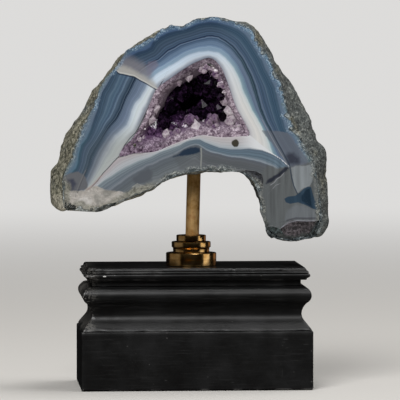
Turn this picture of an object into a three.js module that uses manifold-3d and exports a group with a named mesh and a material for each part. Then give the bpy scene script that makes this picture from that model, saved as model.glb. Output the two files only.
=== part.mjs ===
// An agate geode, sawn through to a flat polished face, on a leaning brass rod
// that stands in a stepped brass collar on a moulded black wooden plinth.
// Millimetres, +Z up, front towards -Y. The origin is the middle of the plinth's underside.
import * as THREE from 'three';
import { mergeVertices } from 'three/addons/utils/BufferGeometryUtils.js';
import Module from 'manifold-3d';

const wasm = await Module();
wasm.setup();

const FIT_GAP = 0.3; // clearance left between pieces that touch
const TURNED_SIDES = 32;

// Plinth: a plain block, a moulding and a cap board, all mitred on four sides.
// An inset is measured in from the block's faces.
const PLINTH_WIDTH = 160;
const PLINTH_DEPTH = 85;
const BLOCK_TOP = 40.6;
const MOULDING_TOP = 71.2;
const PLINTH_TOP = 84.3;
const BLOCK_CHAMFER = 0.7;
const TORUS = { inset: 7, z: MOULDING_TOP - 6.1, radius: 6.1 };
const NECK = { inset: 7.4, z: 52 };
const FILLET_INSET = 7.9;
const LIP = { inset: 1.9, z: 79.8, underZ: 75.7 };
const CAP_INSET = 5.2;

// Brass: the rod leans to the right about its foot, in a stack of three turned rings
const ROD_RADIUS = 4.75;
const ROD_LENGTH = 84;
const ROD_FOOT_Z = PLINTH_TOP - 8;
const ROD_LEAN = THREE.MathUtils.degToRad(1.5);
const STAND_X = -2.5;
const STAND_Y = -13;
const BRASS_CHAMFER = 0.45;
const FLANGE = { radius: 17.5, bottom: PLINTH_TOP + FIT_GAP, top: 93.8 };
const MIDDLE_RING = { radius: 13.6, bottom: 94.1, coveTop: 97.4, coveRadius: 12.6, top: 101.4 };
const TOP_RING = { radius: 10.3, bottom: 101.7, top: 105.9 };

// Geode: depths are measured back from the sawn face
const FACE_Y = -40;
const WIDEST_DEPTH = 19;
const GEODE_DEPTH = 67;
const OUTLINE_STEPS = 108;
const SWELL_DEPTHS = [0, 2.5, 7, 12.5];
const DOME_ANGLES = [0, 16, 31, 45, 58, 70, 80];
const EDGE_FADE_STEPS = 4; // how widely the outline is evened out behind the face
const LUMP = { cell: 19, height: 2.6 };
const GRIT = { cell: 7, height: 0.9 };
const LUMPS_FULL_DEPTH = 14;

// The edge of the sawn face, clockwise from its crown: x, z, and how far the rough
// rind swells past the face there
const FACE_EDGE = [
  [10, 257.3, 0.5], [19.4, 256.1, 0.6], [29.6, 252.6, 1], [35.5, 249.6, 3], [39.3, 245.4, 4.6],
  [42.7, 238.2, 5], [46.9, 233.1, 4.6], [52.8, 220.7, 5.6], [58.6, 209, 8], [60.4, 198, 10.4],
  [64.5, 186.3, 13], [66.6, 180.1, 13.4], [70.4, 173.8, 12.6], [74.2, 166.9, 12], [80.1, 156.6, 10.2],
  [82.6, 143.5, 9], [84.3, 128.3, 8.6], [85.5, 118, 7.4], [84, 108.3, 5.2], [77.7, 105.1, 3],
  [68.4, 102.5, 1], [59.1, 102.8, 0], [51.5, 105.6, 0], [48.5, 111.9, 0], [45.8, 119.7, 0],
  [44.7, 130.3, 0], [43.4, 139.5, 0], [37.9, 146.1, 0], [31.3, 149.8, 0], [23.3, 151.8, 0],
  [14.1, 150.2, 0], [4.8, 152.4, 0], [-5.7, 150.2, 0], [-16.3, 147.6, 0], [-24.2, 144.4, 0],
  [-29.4, 140, 0], [-42.6, 134.5, 0], [-55.8, 128.6, 0], [-66.3, 123.8, 0.4], [-76.8, 123.5, 1],
  [-82, 125.8, 1.6], [-87.3, 123.9, 3], [-91.7, 125.5, 6], [-92.2, 134.4, 9.4], [-92.7, 141.3, 9],
  [-92.5, 147.5, 6.4], [-90.1, 153.6, 6], [-86.6, 159.8, 7], [-85.6, 166, 7.2], [-82.5, 172.8, 7],
  [-80.8, 179.7, 5.8], [-76.7, 186.5, 5], [-69.1, 200.2, 4.2], [-63.6, 213.3, 2], [-56, 221.1, 1.2],
  [-51.2, 229, 1], [-47.8, 233.5, 1], [-42.3, 236.2, 1.4], [-33.3, 241, 1.4], [-26.7, 246.5, 1],
  [-18.9, 250.4, 0.6], [-8.3, 250.9, 0.5], [0.9, 255.7, 0.5],
];
// The ridge inside the stone that its domed back closes towards, from toe to leg: x, z
const SPINE = [
  [-82, 138], [-70, 151], [-47, 165], [-18, 176], [14, 180], [38, 171], [54, 153], [66, 128],
];

// The mouth of the hollow in the sawn face: x, z
const HOLLOW_EDGE = [
  [8.8, 229.1], [15.4, 223.8], [20.7, 212], [23.3, 204.1], [27.2, 193.6], [32.6, 184.3], [35.9, 175.8],
  [29.9, 175.1], [16.7, 174.5], [3.5, 175.9], [-3.1, 174.6], [-16.2, 170], [-29.4, 164.7], [-42.5, 163.5],
  [-54, 161.1], [-51.3, 167.3], [-45.2, 173.4], [-38.2, 184.5], [-33, 197.4], [-27.9, 207.9],
  [-18.9, 214.7], [-9.6, 221.2], [-0.4, 226.4],
];
// The space that the crystals leave free inside: x, z
const VOID_EDGE = [
  [7.2, 215.9], [12.8, 211.8], [14.1, 204.2], [18.3, 196], [19.7, 191.2], [5.9, 189], [-0.3, 187.5],
  [-8.6, 185], [-16.2, 183], [-23.1, 184], [-24.4, 188.5], [-19, 197.4], [-16.2, 204.3], [-8.6, 210.4],
];
const HOLLOW_CENTRE = { x: -1, z: 193 };
const HOLLOW_STEPS = 48;
// Each loop of the hollow and of the free space in it: depth, and size against its outline
const HOLLOW_LOOPS = [[0, 1], [9, 1.03], [18, 1], [27, 0.9], [35, 0.7], [40, 0.42], [42, 0.12]];
const VOID_LOOPS = [[-1, 1], [6, 1], [12, 1], [18, 1], [24, 0.9], [29, 0.68], [33, 0.3]];
const MOUTH_LEAD = 2; // how far the cut for the hollow runs out in front of the face
const CRUST_RIM = 0.2; // share of the way in from the mouth that the crystals fill at the face
const VOID_NARROWS_BY = 18; // depth at which the free space has its own outline

// Crystals: rows around the hollow at these depths, with their spacing along each row
const CRYSTAL_DEPTHS = [3, 12, 21];
const CRYSTAL_SPACING = 11;
const CRYSTAL_RADIUS = [3.2, 5];
const CRYSTAL_LENGTH = [10, 15];
const CRYSTAL_TIP_SHARE = 0.42;
const CRYSTAL_LEAN = 0.5;
const CRYSTAL_FOOT_INSET = 1.5;
const HOLLOW_TAPER = 0.004; // how much nearer its centre the hollow's wall is for each mm of depth
const BACK_CRYSTALS = { count: 8, depth: 36, nearest: 6, furthest: 20 };
const CRYSTAL_SEED = 21;
// Large crystals: x, z and depth of the foot, direction as x, z and depth, radius and length
const LARGE_CRYSTALS = [
  { foot: [-3, 170, 12], points: [0.05, 1, -0.45], radius: 8.2, length: 25 },
  { foot: [4, 171, 17], points: [0.35, 1, -0.2], radius: 5.4, length: 23 },
  { foot: [-13, 168, 14], points: [-0.2, 1, -0.3], radius: 5.8, length: 19 },
  { foot: [-34, 172, 12], points: [0.55, 1, -0.35], radius: 6.4, length: 19 },
  { foot: [-42, 168, 8], points: [0.5, 0.8, -0.4], radius: 4.8, length: 13 },
  { foot: [-30, 199, 12], points: [1, -0.1, -0.45], radius: 4.8, length: 13 },
  { foot: [19, 173, 13], points: [-0.1, 1, -0.35], radius: 4.8, length: 15 },
  { foot: [24, 200, 12], points: [-1, 0.05, -0.4], radius: 4.4, length: 12 },
];

// A smooth closed run of vectors through points given as [x, z, ...] in the XZ plane
function smoothLoop(points, steps) {
  const corners = points.map(([x, z]) => new THREE.Vector3(x, 0, z));
  const curve = new THREE.CatmullRomCurve3(corners, true, 'centripetal');
  return Array.from({ length: steps }, (_, i) => curve.getPoint(i / steps));
}

// One value for each step of a smooth loop, blended between the values at its points
function loopValues(values, steps) {
  return Array.from({ length: steps }, (_, i) => {
    const place = (i / steps) * values.length;
    const first = Math.floor(place);
    return THREE.MathUtils.lerp(values[first], values[(first + 1) % values.length], place - first);
  });
}

// Repeatable noise from 0 to 1 at a whole-numbered place
function latticeNoise(x, y, z) {
  const wave = Math.sin(x * 127.1 + y * 311.7 + z * 74.7) * 43758.5453;
  return wave - Math.floor(wave);
}

// Smooth noise from -1 to 1 over a grid of the given cell size
function softNoise(point, cell) {
  const grid = [point.x, point.y, point.z].map((v) => v / cell);
  const base = grid.map(Math.floor);
  const share = grid.map((v, i) => THREE.MathUtils.smoothstep(v - base[i], 0, 1));
  let sum = 0;
  for (let corner = 0; corner < 8; corner += 1) {
    const step = [corner & 1, (corner >> 1) & 1, corner >> 2];
    const weight = step.reduce((product, s, i) => product * (s ? share[i] : 1 - share[i]), 1);
    sum += weight * latticeNoise(base[0] + step[0], base[1] + step[1], base[2] + step[2]);
  }
  return sum * 2 - 1;
}

// A repeatable run of random numbers from 0 to 1
function randomRun(seed) {
  let state = seed;
  return () => {
    state = (state * 1664525 + 1013904223) % 4294967296;
    return state / 4294967296;
  };
}

// A closed geometry through a stack of loops of equal counts, its two ends filled flat.
// "across" gives a point's place in the plane of the loops.
function loftGeometry(loops, across) {
  const count = loops[0].length;
  const index = [];
  for (let ring = 0; ring + 1 < loops.length; ring += 1) {
    for (let i = 0; i < count; i += 1) {
      const [a, b] = [ring * count + i, ring * count + ((i + 1) % count)];
      index.push(a, b, a + count, b, b + count, a + count);
    }
  }
  const clockwise = THREE.ShapeUtils.isClockWise(loops[0].map(across));
  const fillEnd = (loop, start, turned) => {
    for (const [a, b, c] of THREE.ShapeUtils.triangulateShape(loop.map(across), [])) {
      index.push(a + start, (turned ? c : b) + start, (turned ? b : c) + start);
    }
  };
  fillEnd(loops[0], 0, !clockwise);
  fillEnd(loops.at(-1), (loops.length - 1) * count, clockwise);
  const geometry = new THREE.BufferGeometry();
  const positions = loops.flat().flatMap((p) => [p.x, p.y, p.z]);
  geometry.setAttribute('position', new THREE.Float32BufferAttribute(positions, 3));
  geometry.setIndex(index);
  return geometry;
}

const acrossFace = (p) => new THREE.Vector2(p.x, p.z);
const acrossFloor = (p) => new THREE.Vector2(p.x, p.y);

function signedVolume(positions, triangles) {
  const corner = (i) => new THREE.Vector3().fromArray(positions, triangles[i] * 3);
  let volume = 0;
  for (let i = 0; i < triangles.length; i += 3) {
    volume += corner(i).dot(corner(i + 1).cross(corner(i + 2))) / 6;
  }
  return volume;
}

// A closed geometry as a solid to join and cut, with its faces turned outwards
function toSolid(geometry) {
  const bare = geometry.clone();
  bare.deleteAttribute('normal');
  bare.deleteAttribute('uv');
  const merged = mergeVertices(bare, 1e-5);
  const vertProperties = new Float32Array(merged.attributes.position.array);
  const inwards = signedVolume(vertProperties, merged.index.array) < 0;
  const corners = [];
  for (let i = 0; i < merged.index.count; i += 3) {
    const [a, b, c] = [0, 1, 2].map((k) => merged.index.getX(i + k));
    if (a !== b && b !== c && c !== a) corners.push(a, ...(inwards ? [c, b] : [b, c]));
  }
  const triVerts = new Uint32Array(corners);
  return new wasm.Manifold(new wasm.Mesh({ numProp: 3, vertProperties, triVerts }));
}

function toGeometry(solid) {
  const mesh = solid.getMesh();
  const geometry = new THREE.BufferGeometry();
  geometry.setAttribute('position', new THREE.Float32BufferAttribute(mesh.vertProperties, 3));
  geometry.setIndex(Array.from(mesh.triVerts));
  geometry.computeVertexNormals();
  return geometry;
}

function namedMesh(name, solid, material) {
  const mesh = new THREE.Mesh(toGeometry(solid), material);
  mesh.name = name;
  return mesh;
}

// Geode

// A closed loop of points, each the average of those within a reach of it along the loop
function evenedOut(loop, reach) {
  return loop.map((_, i) => {
    const sum = new THREE.Vector3();
    for (let k = -reach; k <= reach; k += 1) sum.add(loop.at((i + k) % loop.length));
    return sum.divideScalar(2 * reach + 1);
  });
}

// For each outline point, the near point of the spine, evened out along the loop
function spineTargets(outline) {
  const corners = SPINE.map(([x, z]) => new THREE.Vector3(x, 0, z));
  const ridge = new THREE.CatmullRomCurve3(corners, false, 'centripetal').getSpacedPoints(90);
  const nearest = outline.map((p) => ridge.reduce((best, q) => (
    q.distanceToSquared(p) < best.distanceToSquared(p) ? q : best)));
  return evenedOut(nearest, 5);
}

function outwardDirections(outline) {
  return outline.map((_, i) => {
    const along = outline[(i + 1) % outline.length].clone().sub(outline.at(i - 1));
    return new THREE.Vector3(-along.z, 0, along.x).normalize();
  });
}

// The rough skin's own lumps at a point, none at the sawn face and all of them further back
function rindLump(point, depth) {
  const share = THREE.MathUtils.smoothstep(depth, 0, LUMPS_FULL_DEPTH);
  return [LUMP, GRIT].reduce((sum, { cell, height }) => sum + share * height * softNoise(point, cell), 0);
}

function geodeLoops() {
  const edge = smoothLoop(FACE_EDGE, OUTLINE_STEPS);
  const swell = loopValues(FACE_EDGE.map((row) => row[2]), OUTLINE_STEPS);
  const outwards = outwardDirections(edge);
  const targets = spineTargets(edge);
  const swollen = edge.map((p, i) => p.clone().addScaledVector(outwards[i], swell[i]));
  const widest = evenedOut(swollen, EDGE_FADE_STEPS);
  const roughened = (point, i, depth, angle) => {
    const placed = new THREE.Vector3(point.x, FACE_Y + depth, point.z);
    const away = outwards[i].clone().multiplyScalar(Math.cos(angle)).setY(Math.sin(angle));
    return placed.addScaledVector(away, rindLump(placed, depth));
  };
  const swelling = SWELL_DEPTHS.map((depth) => edge.map((point, i) => {
    const share = Math.sin((Math.PI / 2) * (depth / WIDEST_DEPTH));
    return roughened(point.clone().lerp(widest[i], share), i, depth, 0);
  }));
  const dome = DOME_ANGLES.map((degrees) => edge.map((_, i) => {
    const angle = THREE.MathUtils.degToRad(degrees);
    const depth = WIDEST_DEPTH + (GEODE_DEPTH - WIDEST_DEPTH) * Math.sin(angle);
    return roughened(targets[i].clone().lerp(widest[i], Math.cos(angle)), i, depth, angle);
  }));
  return [...swelling, ...dome];
}

// Distances from the hollow's centre to an outline, at even angles
function polarRadii(points) {
  const dense = smoothLoop(points, 900).map((p) => {
    const [x, z] = [p.x - HOLLOW_CENTRE.x, p.z - HOLLOW_CENTRE.z];
    return { angle: Math.atan2(z, x), radius: Math.hypot(x, z) };
  });
  return Array.from({ length: HOLLOW_STEPS }, (_, i) => {
    const angle = Math.PI * ((2 * i) / HOLLOW_STEPS - 1);
    const off = (p) => Math.abs(Math.atan2(Math.sin(p.angle - angle), Math.cos(p.angle - angle)));
    return dense.reduce((best, p) => (off(p) < off(best) ? p : best)).radius;
  });
}

function polarPoint(radius, i, depth) {
  const angle = Math.PI * ((2 * i) / HOLLOW_STEPS - 1);
  const [x, z] = [radius * Math.cos(angle), radius * Math.sin(angle)];
  return new THREE.Vector3(HOLLOW_CENTRE.x + x, FACE_Y + depth, HOLLOW_CENTRE.z + z);
}

// The hollow as a solid, grown by an allowance and run forward out of the face by a lead
function hollowSolid(radii, growth, lead) {
  const stations = lead > 0 ? [[-lead, 1], ...HOLLOW_LOOPS] : HOLLOW_LOOPS;
  const loops = stations.map(([depth, size]) => (
    radii.map((r, i) => polarPoint(r * size + growth, i, depth))));
  return toSolid(loftGeometry(loops, acrossFace));
}

function voidSolid(mouth, inner) {
  const loops = VOID_LOOPS.map(([depth, size]) => {
    const share = THREE.MathUtils.smoothstep(depth, 0, VOID_NARROWS_BY);
    return mouth.map((r, i) => (
      polarPoint(size * THREE.MathUtils.lerp(r * (1 - CRUST_RIM), inner[i], share), i, depth)));
  });
  return toSolid(loftGeometry(loops, acrossFace));
}

// One six-sided crystal with a pointed end, its foot at a point and its tip along a direction
function crystalSolid(foot, direction, radius, length, twist) {
  const shaft = length * (1 - CRYSTAL_TIP_SHARE);
  const profile = [[0, 0], [radius, 0], [radius, shaft], [0, length]];
  const shape = new THREE.LatheGeometry(profile.map(([r, h]) => new THREE.Vector2(r, h)), 6);
  shape.rotateY(twist);
  const up = new THREE.Vector3(0, 1, 0);
  shape.applyQuaternion(new THREE.Quaternion().setFromUnitVectors(up, direction.clone().normalize()));
  shape.translate(foot.x, foot.y, foot.z);
  return toSolid(shape);
}

function scatteredCrystals(mouth, random) {
  const between = ([low, high]) => low + (high - low) * random();
  const crystals = [];
  const addFrom = (foot, inwards) => {
    const lean = new THREE.Vector3(between([-0.5, 0.5]), between([-0.7, 0.3]), between([-0.5, 0.5]));
    const direction = inwards.normalize().addScaledVector(lean, CRYSTAL_LEAN);
    const [radius, length] = [between(CRYSTAL_RADIUS), between(CRYSTAL_LENGTH)];
    crystals.push(crystalSolid(foot, direction, radius, length, between([0, Math.PI])));
  };
  for (const depth of CRYSTAL_DEPTHS) {
    let travelled = CRYSTAL_SPACING * random();
    mouth.forEach((radius, i) => {
      const next = mouth[(i + 1) % mouth.length];
      travelled += polarPoint(radius, i, 0).distanceTo(polarPoint(next, i + 1, 0));
      if (travelled < CRYSTAL_SPACING) return;
      travelled -= CRYSTAL_SPACING;
      const foot = polarPoint(radius * (1 - HOLLOW_TAPER * depth) - CRYSTAL_FOOT_INSET, i, depth);
      addFrom(foot, polarPoint(0, i, depth + 2).sub(foot));
    });
  }
  const { count, depth, nearest, furthest } = BACK_CRYSTALS;
  for (let k = 0; k < count; k += 1) {
    const foot = polarPoint(between([nearest, furthest]), (k * HOLLOW_STEPS) / count, depth);
    addFrom(foot, new THREE.Vector3(0, -1, 0));
  }
  return crystals;
}

function largeCrystals(random) {
  return LARGE_CRYSTALS.map(({ foot, points, radius, length }) => {
    const place = new THREE.Vector3(foot[0], FACE_Y + foot[2], foot[1]);
    const direction = new THREE.Vector3(points[0], points[2], points[1]);
    return crystalSolid(place, direction, radius, length, Math.PI * random());
  });
}

function crustSolid(mouth, inner) {
  const random = randomRun(CRYSTAL_SEED);
  const bed = hollowSolid(mouth, -FIT_GAP, 0);
  const crystals = [...scatteredCrystals(mouth, random), ...largeCrystals(random)];
  const layer = bed.subtract(voidSolid(mouth, inner));
  return crystals.reduce((grown, crystal) => grown.add(crystal), layer).intersect(bed);
}

// Brass

function turnedSolid(profile) {
  return toSolid(new THREE.LatheGeometry(profile.map(([r, h]) => new THREE.Vector2(r, h)), TURNED_SIDES));
}

// A chamfered round bar of a radius between two heights on the axis
function barSolid(radius, bottom, top, chamfer) {
  const profile = [
    [0, bottom], [radius - chamfer, bottom], [radius, bottom + chamfer],
    [radius, top - chamfer], [radius - chamfer, top], [0, top],
  ];
  return turnedSolid(profile).rotate([90, 0, 0]);
}

// A bar on the rod's leaning axis
function rodSolid(radius, bottom, top, chamfer) {
  const lean = [0, THREE.MathUtils.radToDeg(ROD_LEAN), 0];
  return barSolid(radius, bottom, top, chamfer).rotate(lean).translate([STAND_X, STAND_Y, ROD_FOOT_Z]);
}

function middleRingSolid() {
  const { radius, bottom, coveTop, coveRadius, top } = MIDDLE_RING;
  const profile = [
    [0, bottom], [coveRadius + 0.5, bottom], [coveRadius, bottom + 0.8], [coveRadius, bottom + 1.8],
    [coveRadius + 0.4, coveTop - 0.6], [radius, coveTop], [radius, top - BRASS_CHAMFER],
    [radius - BRASS_CHAMFER, top], [0, top],
  ];
  return turnedSolid(profile).rotate([90, 0, 0]);
}

// A ring of the collar: its solid on the collar's axis, bored for the leaning rod
function collarRing(solid) {
  const bore = rodSolid(ROD_RADIUS + FIT_GAP, 0, ROD_LENGTH, BRASS_CHAMFER);
  return solid.translate([STAND_X, STAND_Y, 0]).subtract(bore);
}

// Plinth

// Stacked rectangles, one for each [inset, height] of a profile
function mitredSolid(profile) {
  const loops = profile.map(([inset, z]) => {
    const [x, y] = [PLINTH_WIDTH / 2 - inset, PLINTH_DEPTH / 2 - inset];
    return [[-x, -y], [x, -y], [x, y], [-x, y]].map((p) => new THREE.Vector3(p[0], p[1], z));
  });
  return toSolid(loftGeometry(loops, acrossFloor));
}

const blockProfile = () => [
  [BLOCK_CHAMFER, 0], [0, BLOCK_CHAMFER], [0, BLOCK_TOP - BLOCK_CHAMFER], [BLOCK_CHAMFER, BLOCK_TOP],
];

// A flare out of the block, a hollow neck and a half-round torus above it
function mouldingProfile() {
  const flare = new THREE.SplineCurve([
    [0.7, BLOCK_TOP + FIT_GAP], [3.2, 44.6], [6.2, 48.4], [NECK.inset, NECK.z], [6.3, 56.6], [4, 59.7],
  ].map(([inset, z]) => new THREE.Vector2(inset, z)));
  const round = new THREE.EllipseCurve(
    TORUS.inset, TORUS.z, TORUS.radius, TORUS.radius, (4 / 3) * Math.PI, Math.PI / 2, true);
  return [...flare.getPoints(12), ...round.getPoints(9)].map((p) => [p.x, p.y]);
}

// A set-back fillet under a reeded lip that slopes in to the flat top
const capProfile = () => [
  [FILLET_INSET, MOULDING_TOP + FIT_GAP], [FILLET_INSET, LIP.underZ], [4.4, LIP.underZ + 0.1],
  [2.6, LIP.z - 2.4], [LIP.inset, LIP.z - 1], [LIP.inset, LIP.z], [2.6, LIP.z + 0.5], [2.8, LIP.z + 1.6],
  [3.7, LIP.z + 2.1], [3.9, LIP.z + 3], [CAP_INSET - 0.5, PLINTH_TOP - 0.5], [CAP_INSET, PLINTH_TOP],
];

// Materials

const agate = new THREE.MeshStandardMaterial({ color: 0x6f8296, roughness: 0.35, metalness: 0 });
const amethyst = new THREE.MeshStandardMaterial({ color: 0x7b5a86, roughness: 0.2, metalness: 0 });
const brass = new THREE.MeshStandardMaterial({ color: 0xb08a52, roughness: 0.3, metalness: 1 });
const paint = new THREE.MeshStandardMaterial({ color: 0x1d1c1d, roughness: 0.45, metalness: 0 });

// Assembly

const mouthRadii = polarRadii(HOLLOW_EDGE);
const voidRadii = polarRadii(VOID_EDGE);
const rodHole = rodSolid(ROD_RADIUS + FIT_GAP, -FIT_GAP, ROD_LENGTH + FIT_GAP, 0.1);
const stone = toSolid(loftGeometry(geodeLoops(), acrossFace));
const hollow = hollowSolid(mouthRadii, 0, MOUTH_LEAD);

const group = new THREE.Group();
group.add(namedMesh('geode', stone.subtract(hollow).subtract(rodHole), agate));
group.add(namedMesh('amethyst_crust', crustSolid(mouthRadii, voidRadii), amethyst));
group.add(namedMesh('brass_rod', rodSolid(ROD_RADIUS, 0, ROD_LENGTH, BRASS_CHAMFER), brass));
for (const [name, ring] of [['collar_flange', FLANGE], ['collar_top', TOP_RING]]) {
  const solid = barSolid(ring.radius, ring.bottom, ring.top, BRASS_CHAMFER);
  group.add(namedMesh(name, collarRing(solid), brass));
}
group.add(namedMesh('collar_middle', collarRing(middleRingSolid()), brass));
group.add(namedMesh('plinth_cap', mitredSolid(capProfile()).subtract(rodHole), paint));
group.add(namedMesh('plinth_moulding', mitredSolid(mouldingProfile()), paint));
group.add(namedMesh('plinth_block', mitredSolid(blockProfile()), paint));

export default group;
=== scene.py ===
"""A sawn agate geode with an amethyst-lined hollow, on a brass rod and a black moulded plinth."""

import math
import random

import bmesh
import bpy
import numpy as np
from mathutils import Matrix, Vector, noise
from mathutils.geometry import intersect_point_line, intersect_point_tri_2d


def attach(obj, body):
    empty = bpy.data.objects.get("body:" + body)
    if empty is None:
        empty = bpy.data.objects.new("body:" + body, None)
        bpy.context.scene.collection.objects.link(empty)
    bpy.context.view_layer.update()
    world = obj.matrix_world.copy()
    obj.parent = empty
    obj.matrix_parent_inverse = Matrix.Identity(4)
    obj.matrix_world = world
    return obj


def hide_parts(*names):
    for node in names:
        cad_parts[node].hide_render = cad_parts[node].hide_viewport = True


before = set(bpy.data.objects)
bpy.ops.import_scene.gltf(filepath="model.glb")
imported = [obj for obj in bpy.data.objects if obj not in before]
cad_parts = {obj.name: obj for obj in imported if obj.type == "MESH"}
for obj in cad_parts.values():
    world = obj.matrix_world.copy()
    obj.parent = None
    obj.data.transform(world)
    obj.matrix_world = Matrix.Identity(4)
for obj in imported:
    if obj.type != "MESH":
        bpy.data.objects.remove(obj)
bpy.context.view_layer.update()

MM = 0.001


# The stone: half of an agate nodule, one piece from its polished face to its rough rind.
# It was sawn, ground and polished flat at the front; the rind behind is as it came from the rock.
FACE_Y = -40 * MM
MESH_STEP = 1.1  # mm between the points of the polished face
RAGGED = 2.3  # mm, at most, that the edge of the face is chipped in

# Outlines on the face are in mm, as (x, z). These two are the face itself and the hollow's mouth.
FACE_EDGE = [
    (10, 257.25), (19.4, 256.1), (29.6, 252.6), (35.5, 249.6), (39.3, 245.4), (42.7, 238.2), (46.9, 233.1),
    (52.8, 220.7), (58.6, 209), (60.4, 198), (64.5, 186.3), (66.6, 180.1), (70.4, 173.8), (74.2, 166.9),
    (80.1, 156.6), (82.6, 143.5), (84.3, 128.3), (85.5, 118), (84, 108.3), (78.7, 104.5), (68.4, 102.5),
    (58, 102.6), (49.8, 105), (47.4, 111.6), (45.3, 119.7), (44.7, 130.3), (43.4, 139.5), (37.9, 146.1),
    (31.3, 149.8), (23.3, 151.8), (14.1, 150.2), (4.8, 152.4), (-5.7, 150.2), (-16.3, 147.6),
    (-24.2, 144.4), (-29.4, 140), (-42.6, 134.5), (-55.8, 128.6), (-66.3, 123.8), (-76.8, 123.5),
    (-82, 125.8), (-87.3, 123.9), (-91.7, 125.5), (-92.2, 134.4), (-92.7, 141.3), (-92.5, 147.5),
    (-90.1, 153.6), (-86.6, 159.8), (-85.6, 166), (-82.5, 172.8), (-80.8, 179.7), (-76.7, 186.5),
    (-69.1, 200.2), (-63.6, 213.3), (-56, 221.1), (-51.2, 229), (-47.8, 233.5), (-42.3, 236.2),
    (-33.3, 241), (-26.7, 246.5), (-18.9, 250.4), (-8.3, 250.9), (0.9, 255.7),
]
HOLLOW_EDGE = [
    (8.8, 229.1), (15.4, 223.8), (20.7, 212), (23.3, 204.1), (27.2, 193.6), (32.6, 184.3), (35.9, 175.8),
    (29.9, 175.1), (16.7, 174.5), (3.5, 175.9), (-3.1, 174.6), (-16.2, 170), (-29.4, 164.7),
    (-42.5, 163.5), (-54, 161.1), (-51.3, 167.3), (-45.2, 173.4), (-38.2, 184.5), (-33, 197.4),
    (-27.9, 207.9), (-18.9, 214.7), (-9.6, 221.2), (-0.4, 226.4),
]

# The agate's layers, along lines that run clockwise round the hollow. The upper block lies above the
# healed crack, the left block below it, and the lower block under the hollow.
UPPER_SLATE = [
    (-59, 219.5), (-54, 223), (-50.5, 226.5), (-46.5, 229.5), (-41, 232.5), (-35.5, 234), (-32, 236),
    (-30, 240.5), (-26, 243), (-20.5, 245.5), (-15, 247), (-5.5, 249.5), (1, 252), (7.5, 253),
    (14.5, 252.5), (21, 250.5), (27.5, 248), (32.5, 244), (36, 239), (39.5, 233.5), (43.5, 227),
    (46, 220.5), (49.5, 214.5), (52.5, 208), (54.5, 200), (57.5, 187.5), (59.5, 180), (64, 172.5),
    (68.5, 165.5),
]
UPPER_BLACK = [
    (-48, 214), (-43.5, 217.5), (-39.5, 220.5), (-35.5, 223.5), (-31.5, 226), (-27, 228), (-23.5, 231),
    (-20, 234), (-16, 236), (-12, 238.5), (-5.5, 240.5), (1, 242.5), (6.5, 244), (10, 244.3),
    (14.5, 243.3), (19.5, 240.5), (24, 237), (27.5, 233), (31, 228.5), (34, 222.5), (37, 216.5),
    (39.5, 209.5), (41.5, 202), (43.5, 194.5), (45.5, 189.5), (48, 184), (51, 178.5), (54.5, 172),
    (59, 164), (63.5, 155.5), (65.5, 151),
]
UPPER_WHITE = [
    (-37, 210), (-32, 214.5), (-27, 218.5), (-23, 221), (-16, 225), (-10.5, 228.5), (-5, 231.5),
    (1, 233), (7.5, 233.5), (14.5, 232.2), (19.5, 228.5), (24.5, 222.5), (28.5, 214.5), (31, 207),
    (34.5, 199.5), (37.5, 193), (41, 187.5), (44.5, 181), (47.5, 175), (49.5, 170), (51.5, 163.5),
    (53.5, 158.5),
]
LEFT_SLATE = [
    (-92, 144.5), (-86.5, 149.5), (-83, 153), (-81.5, 157.5), (-80.8, 163.5), (-79.5, 169),
    (-75.5, 173.5), (-73.2, 179), (-71, 186), (-68.5, 193.5), (-67.5, 199), (-65.5, 205.5), (-62, 211),
    (-59.5, 216), (-58, 219.5), (-56, 223.5),
]
LEFT_BLACK = [
    (-86.5, 129), (-83.5, 137), (-81, 143.5), (-78, 150), (-75.5, 156.5), (-74, 162), (-71, 167.5),
    (-66.5, 174), (-62, 181), (-57, 187), (-53.3, 193.5), (-50.8, 200), (-48, 206), (-44, 214.5),
    (-42.5, 218.5), (-40, 223.5),
]
LEFT_WHITE = [
    (-81, 132.5), (-76.5, 140), (-73, 146.5), (-69.5, 153.5), (-67, 159), (-64.5, 164.5), (-61, 170),
    (-57, 175.5), (-52, 179.5), (-48.5, 183), (-46.5, 187), (-44.7, 193.5), (-42.5, 198), (-39, 201.5),
    (-35.5, 207.5), (-33, 212), (-30.5, 216.5),
]
SEAM = [
    (-82, 131.5), (-76, 138), (-72.5, 141), (-69, 144.5), (-65, 150), (-61.5, 153.5), (-58, 157.5),
    (-54.5, 161), (-52.5, 164), (-50, 169.5), (-46.5, 174), (-42.5, 178), (-40, 182.5), (-36, 190.5),
    (-34.5, 193.5), (-31.5, 200), (-27.5, 207), (-24.5, 212.5),
]
LOWER_TOP = [
    (-82, 131.5), (-76, 138), (-72.5, 141), (-69, 144.5), (-65, 150), (-61.5, 153.5), (-58, 157.5),
    (-54, 161), (-43, 164.5), (-29.5, 166), (-16, 170.5), (-3, 174.5), (3.5, 176), (17, 174.5),
    (30, 175), (36, 176), (44.5, 169), (51.5, 163.5), (57, 160), (63, 155), (65.5, 151),
]
LOWER_WHITE = [
    (-82, 123.5), (-75.5, 133), (-70, 140), (-64.5, 144.5), (-59, 147.5), (-53.5, 151), (-46.5, 154.5),
    (-39.5, 158), (-32.5, 160.5), (-26, 164), (-19, 166.5), (-12, 169), (-8, 171.5), (-5, 172.5),
    (-1.5, 173), (1.5, 173), (5, 171), (10, 169), (15.5, 167), (22.5, 166), (29.5, 166), (36, 166.5),
    (44.5, 165.5), (51.5, 163), (57, 160), (63, 154.5), (68, 149),
]
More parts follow.
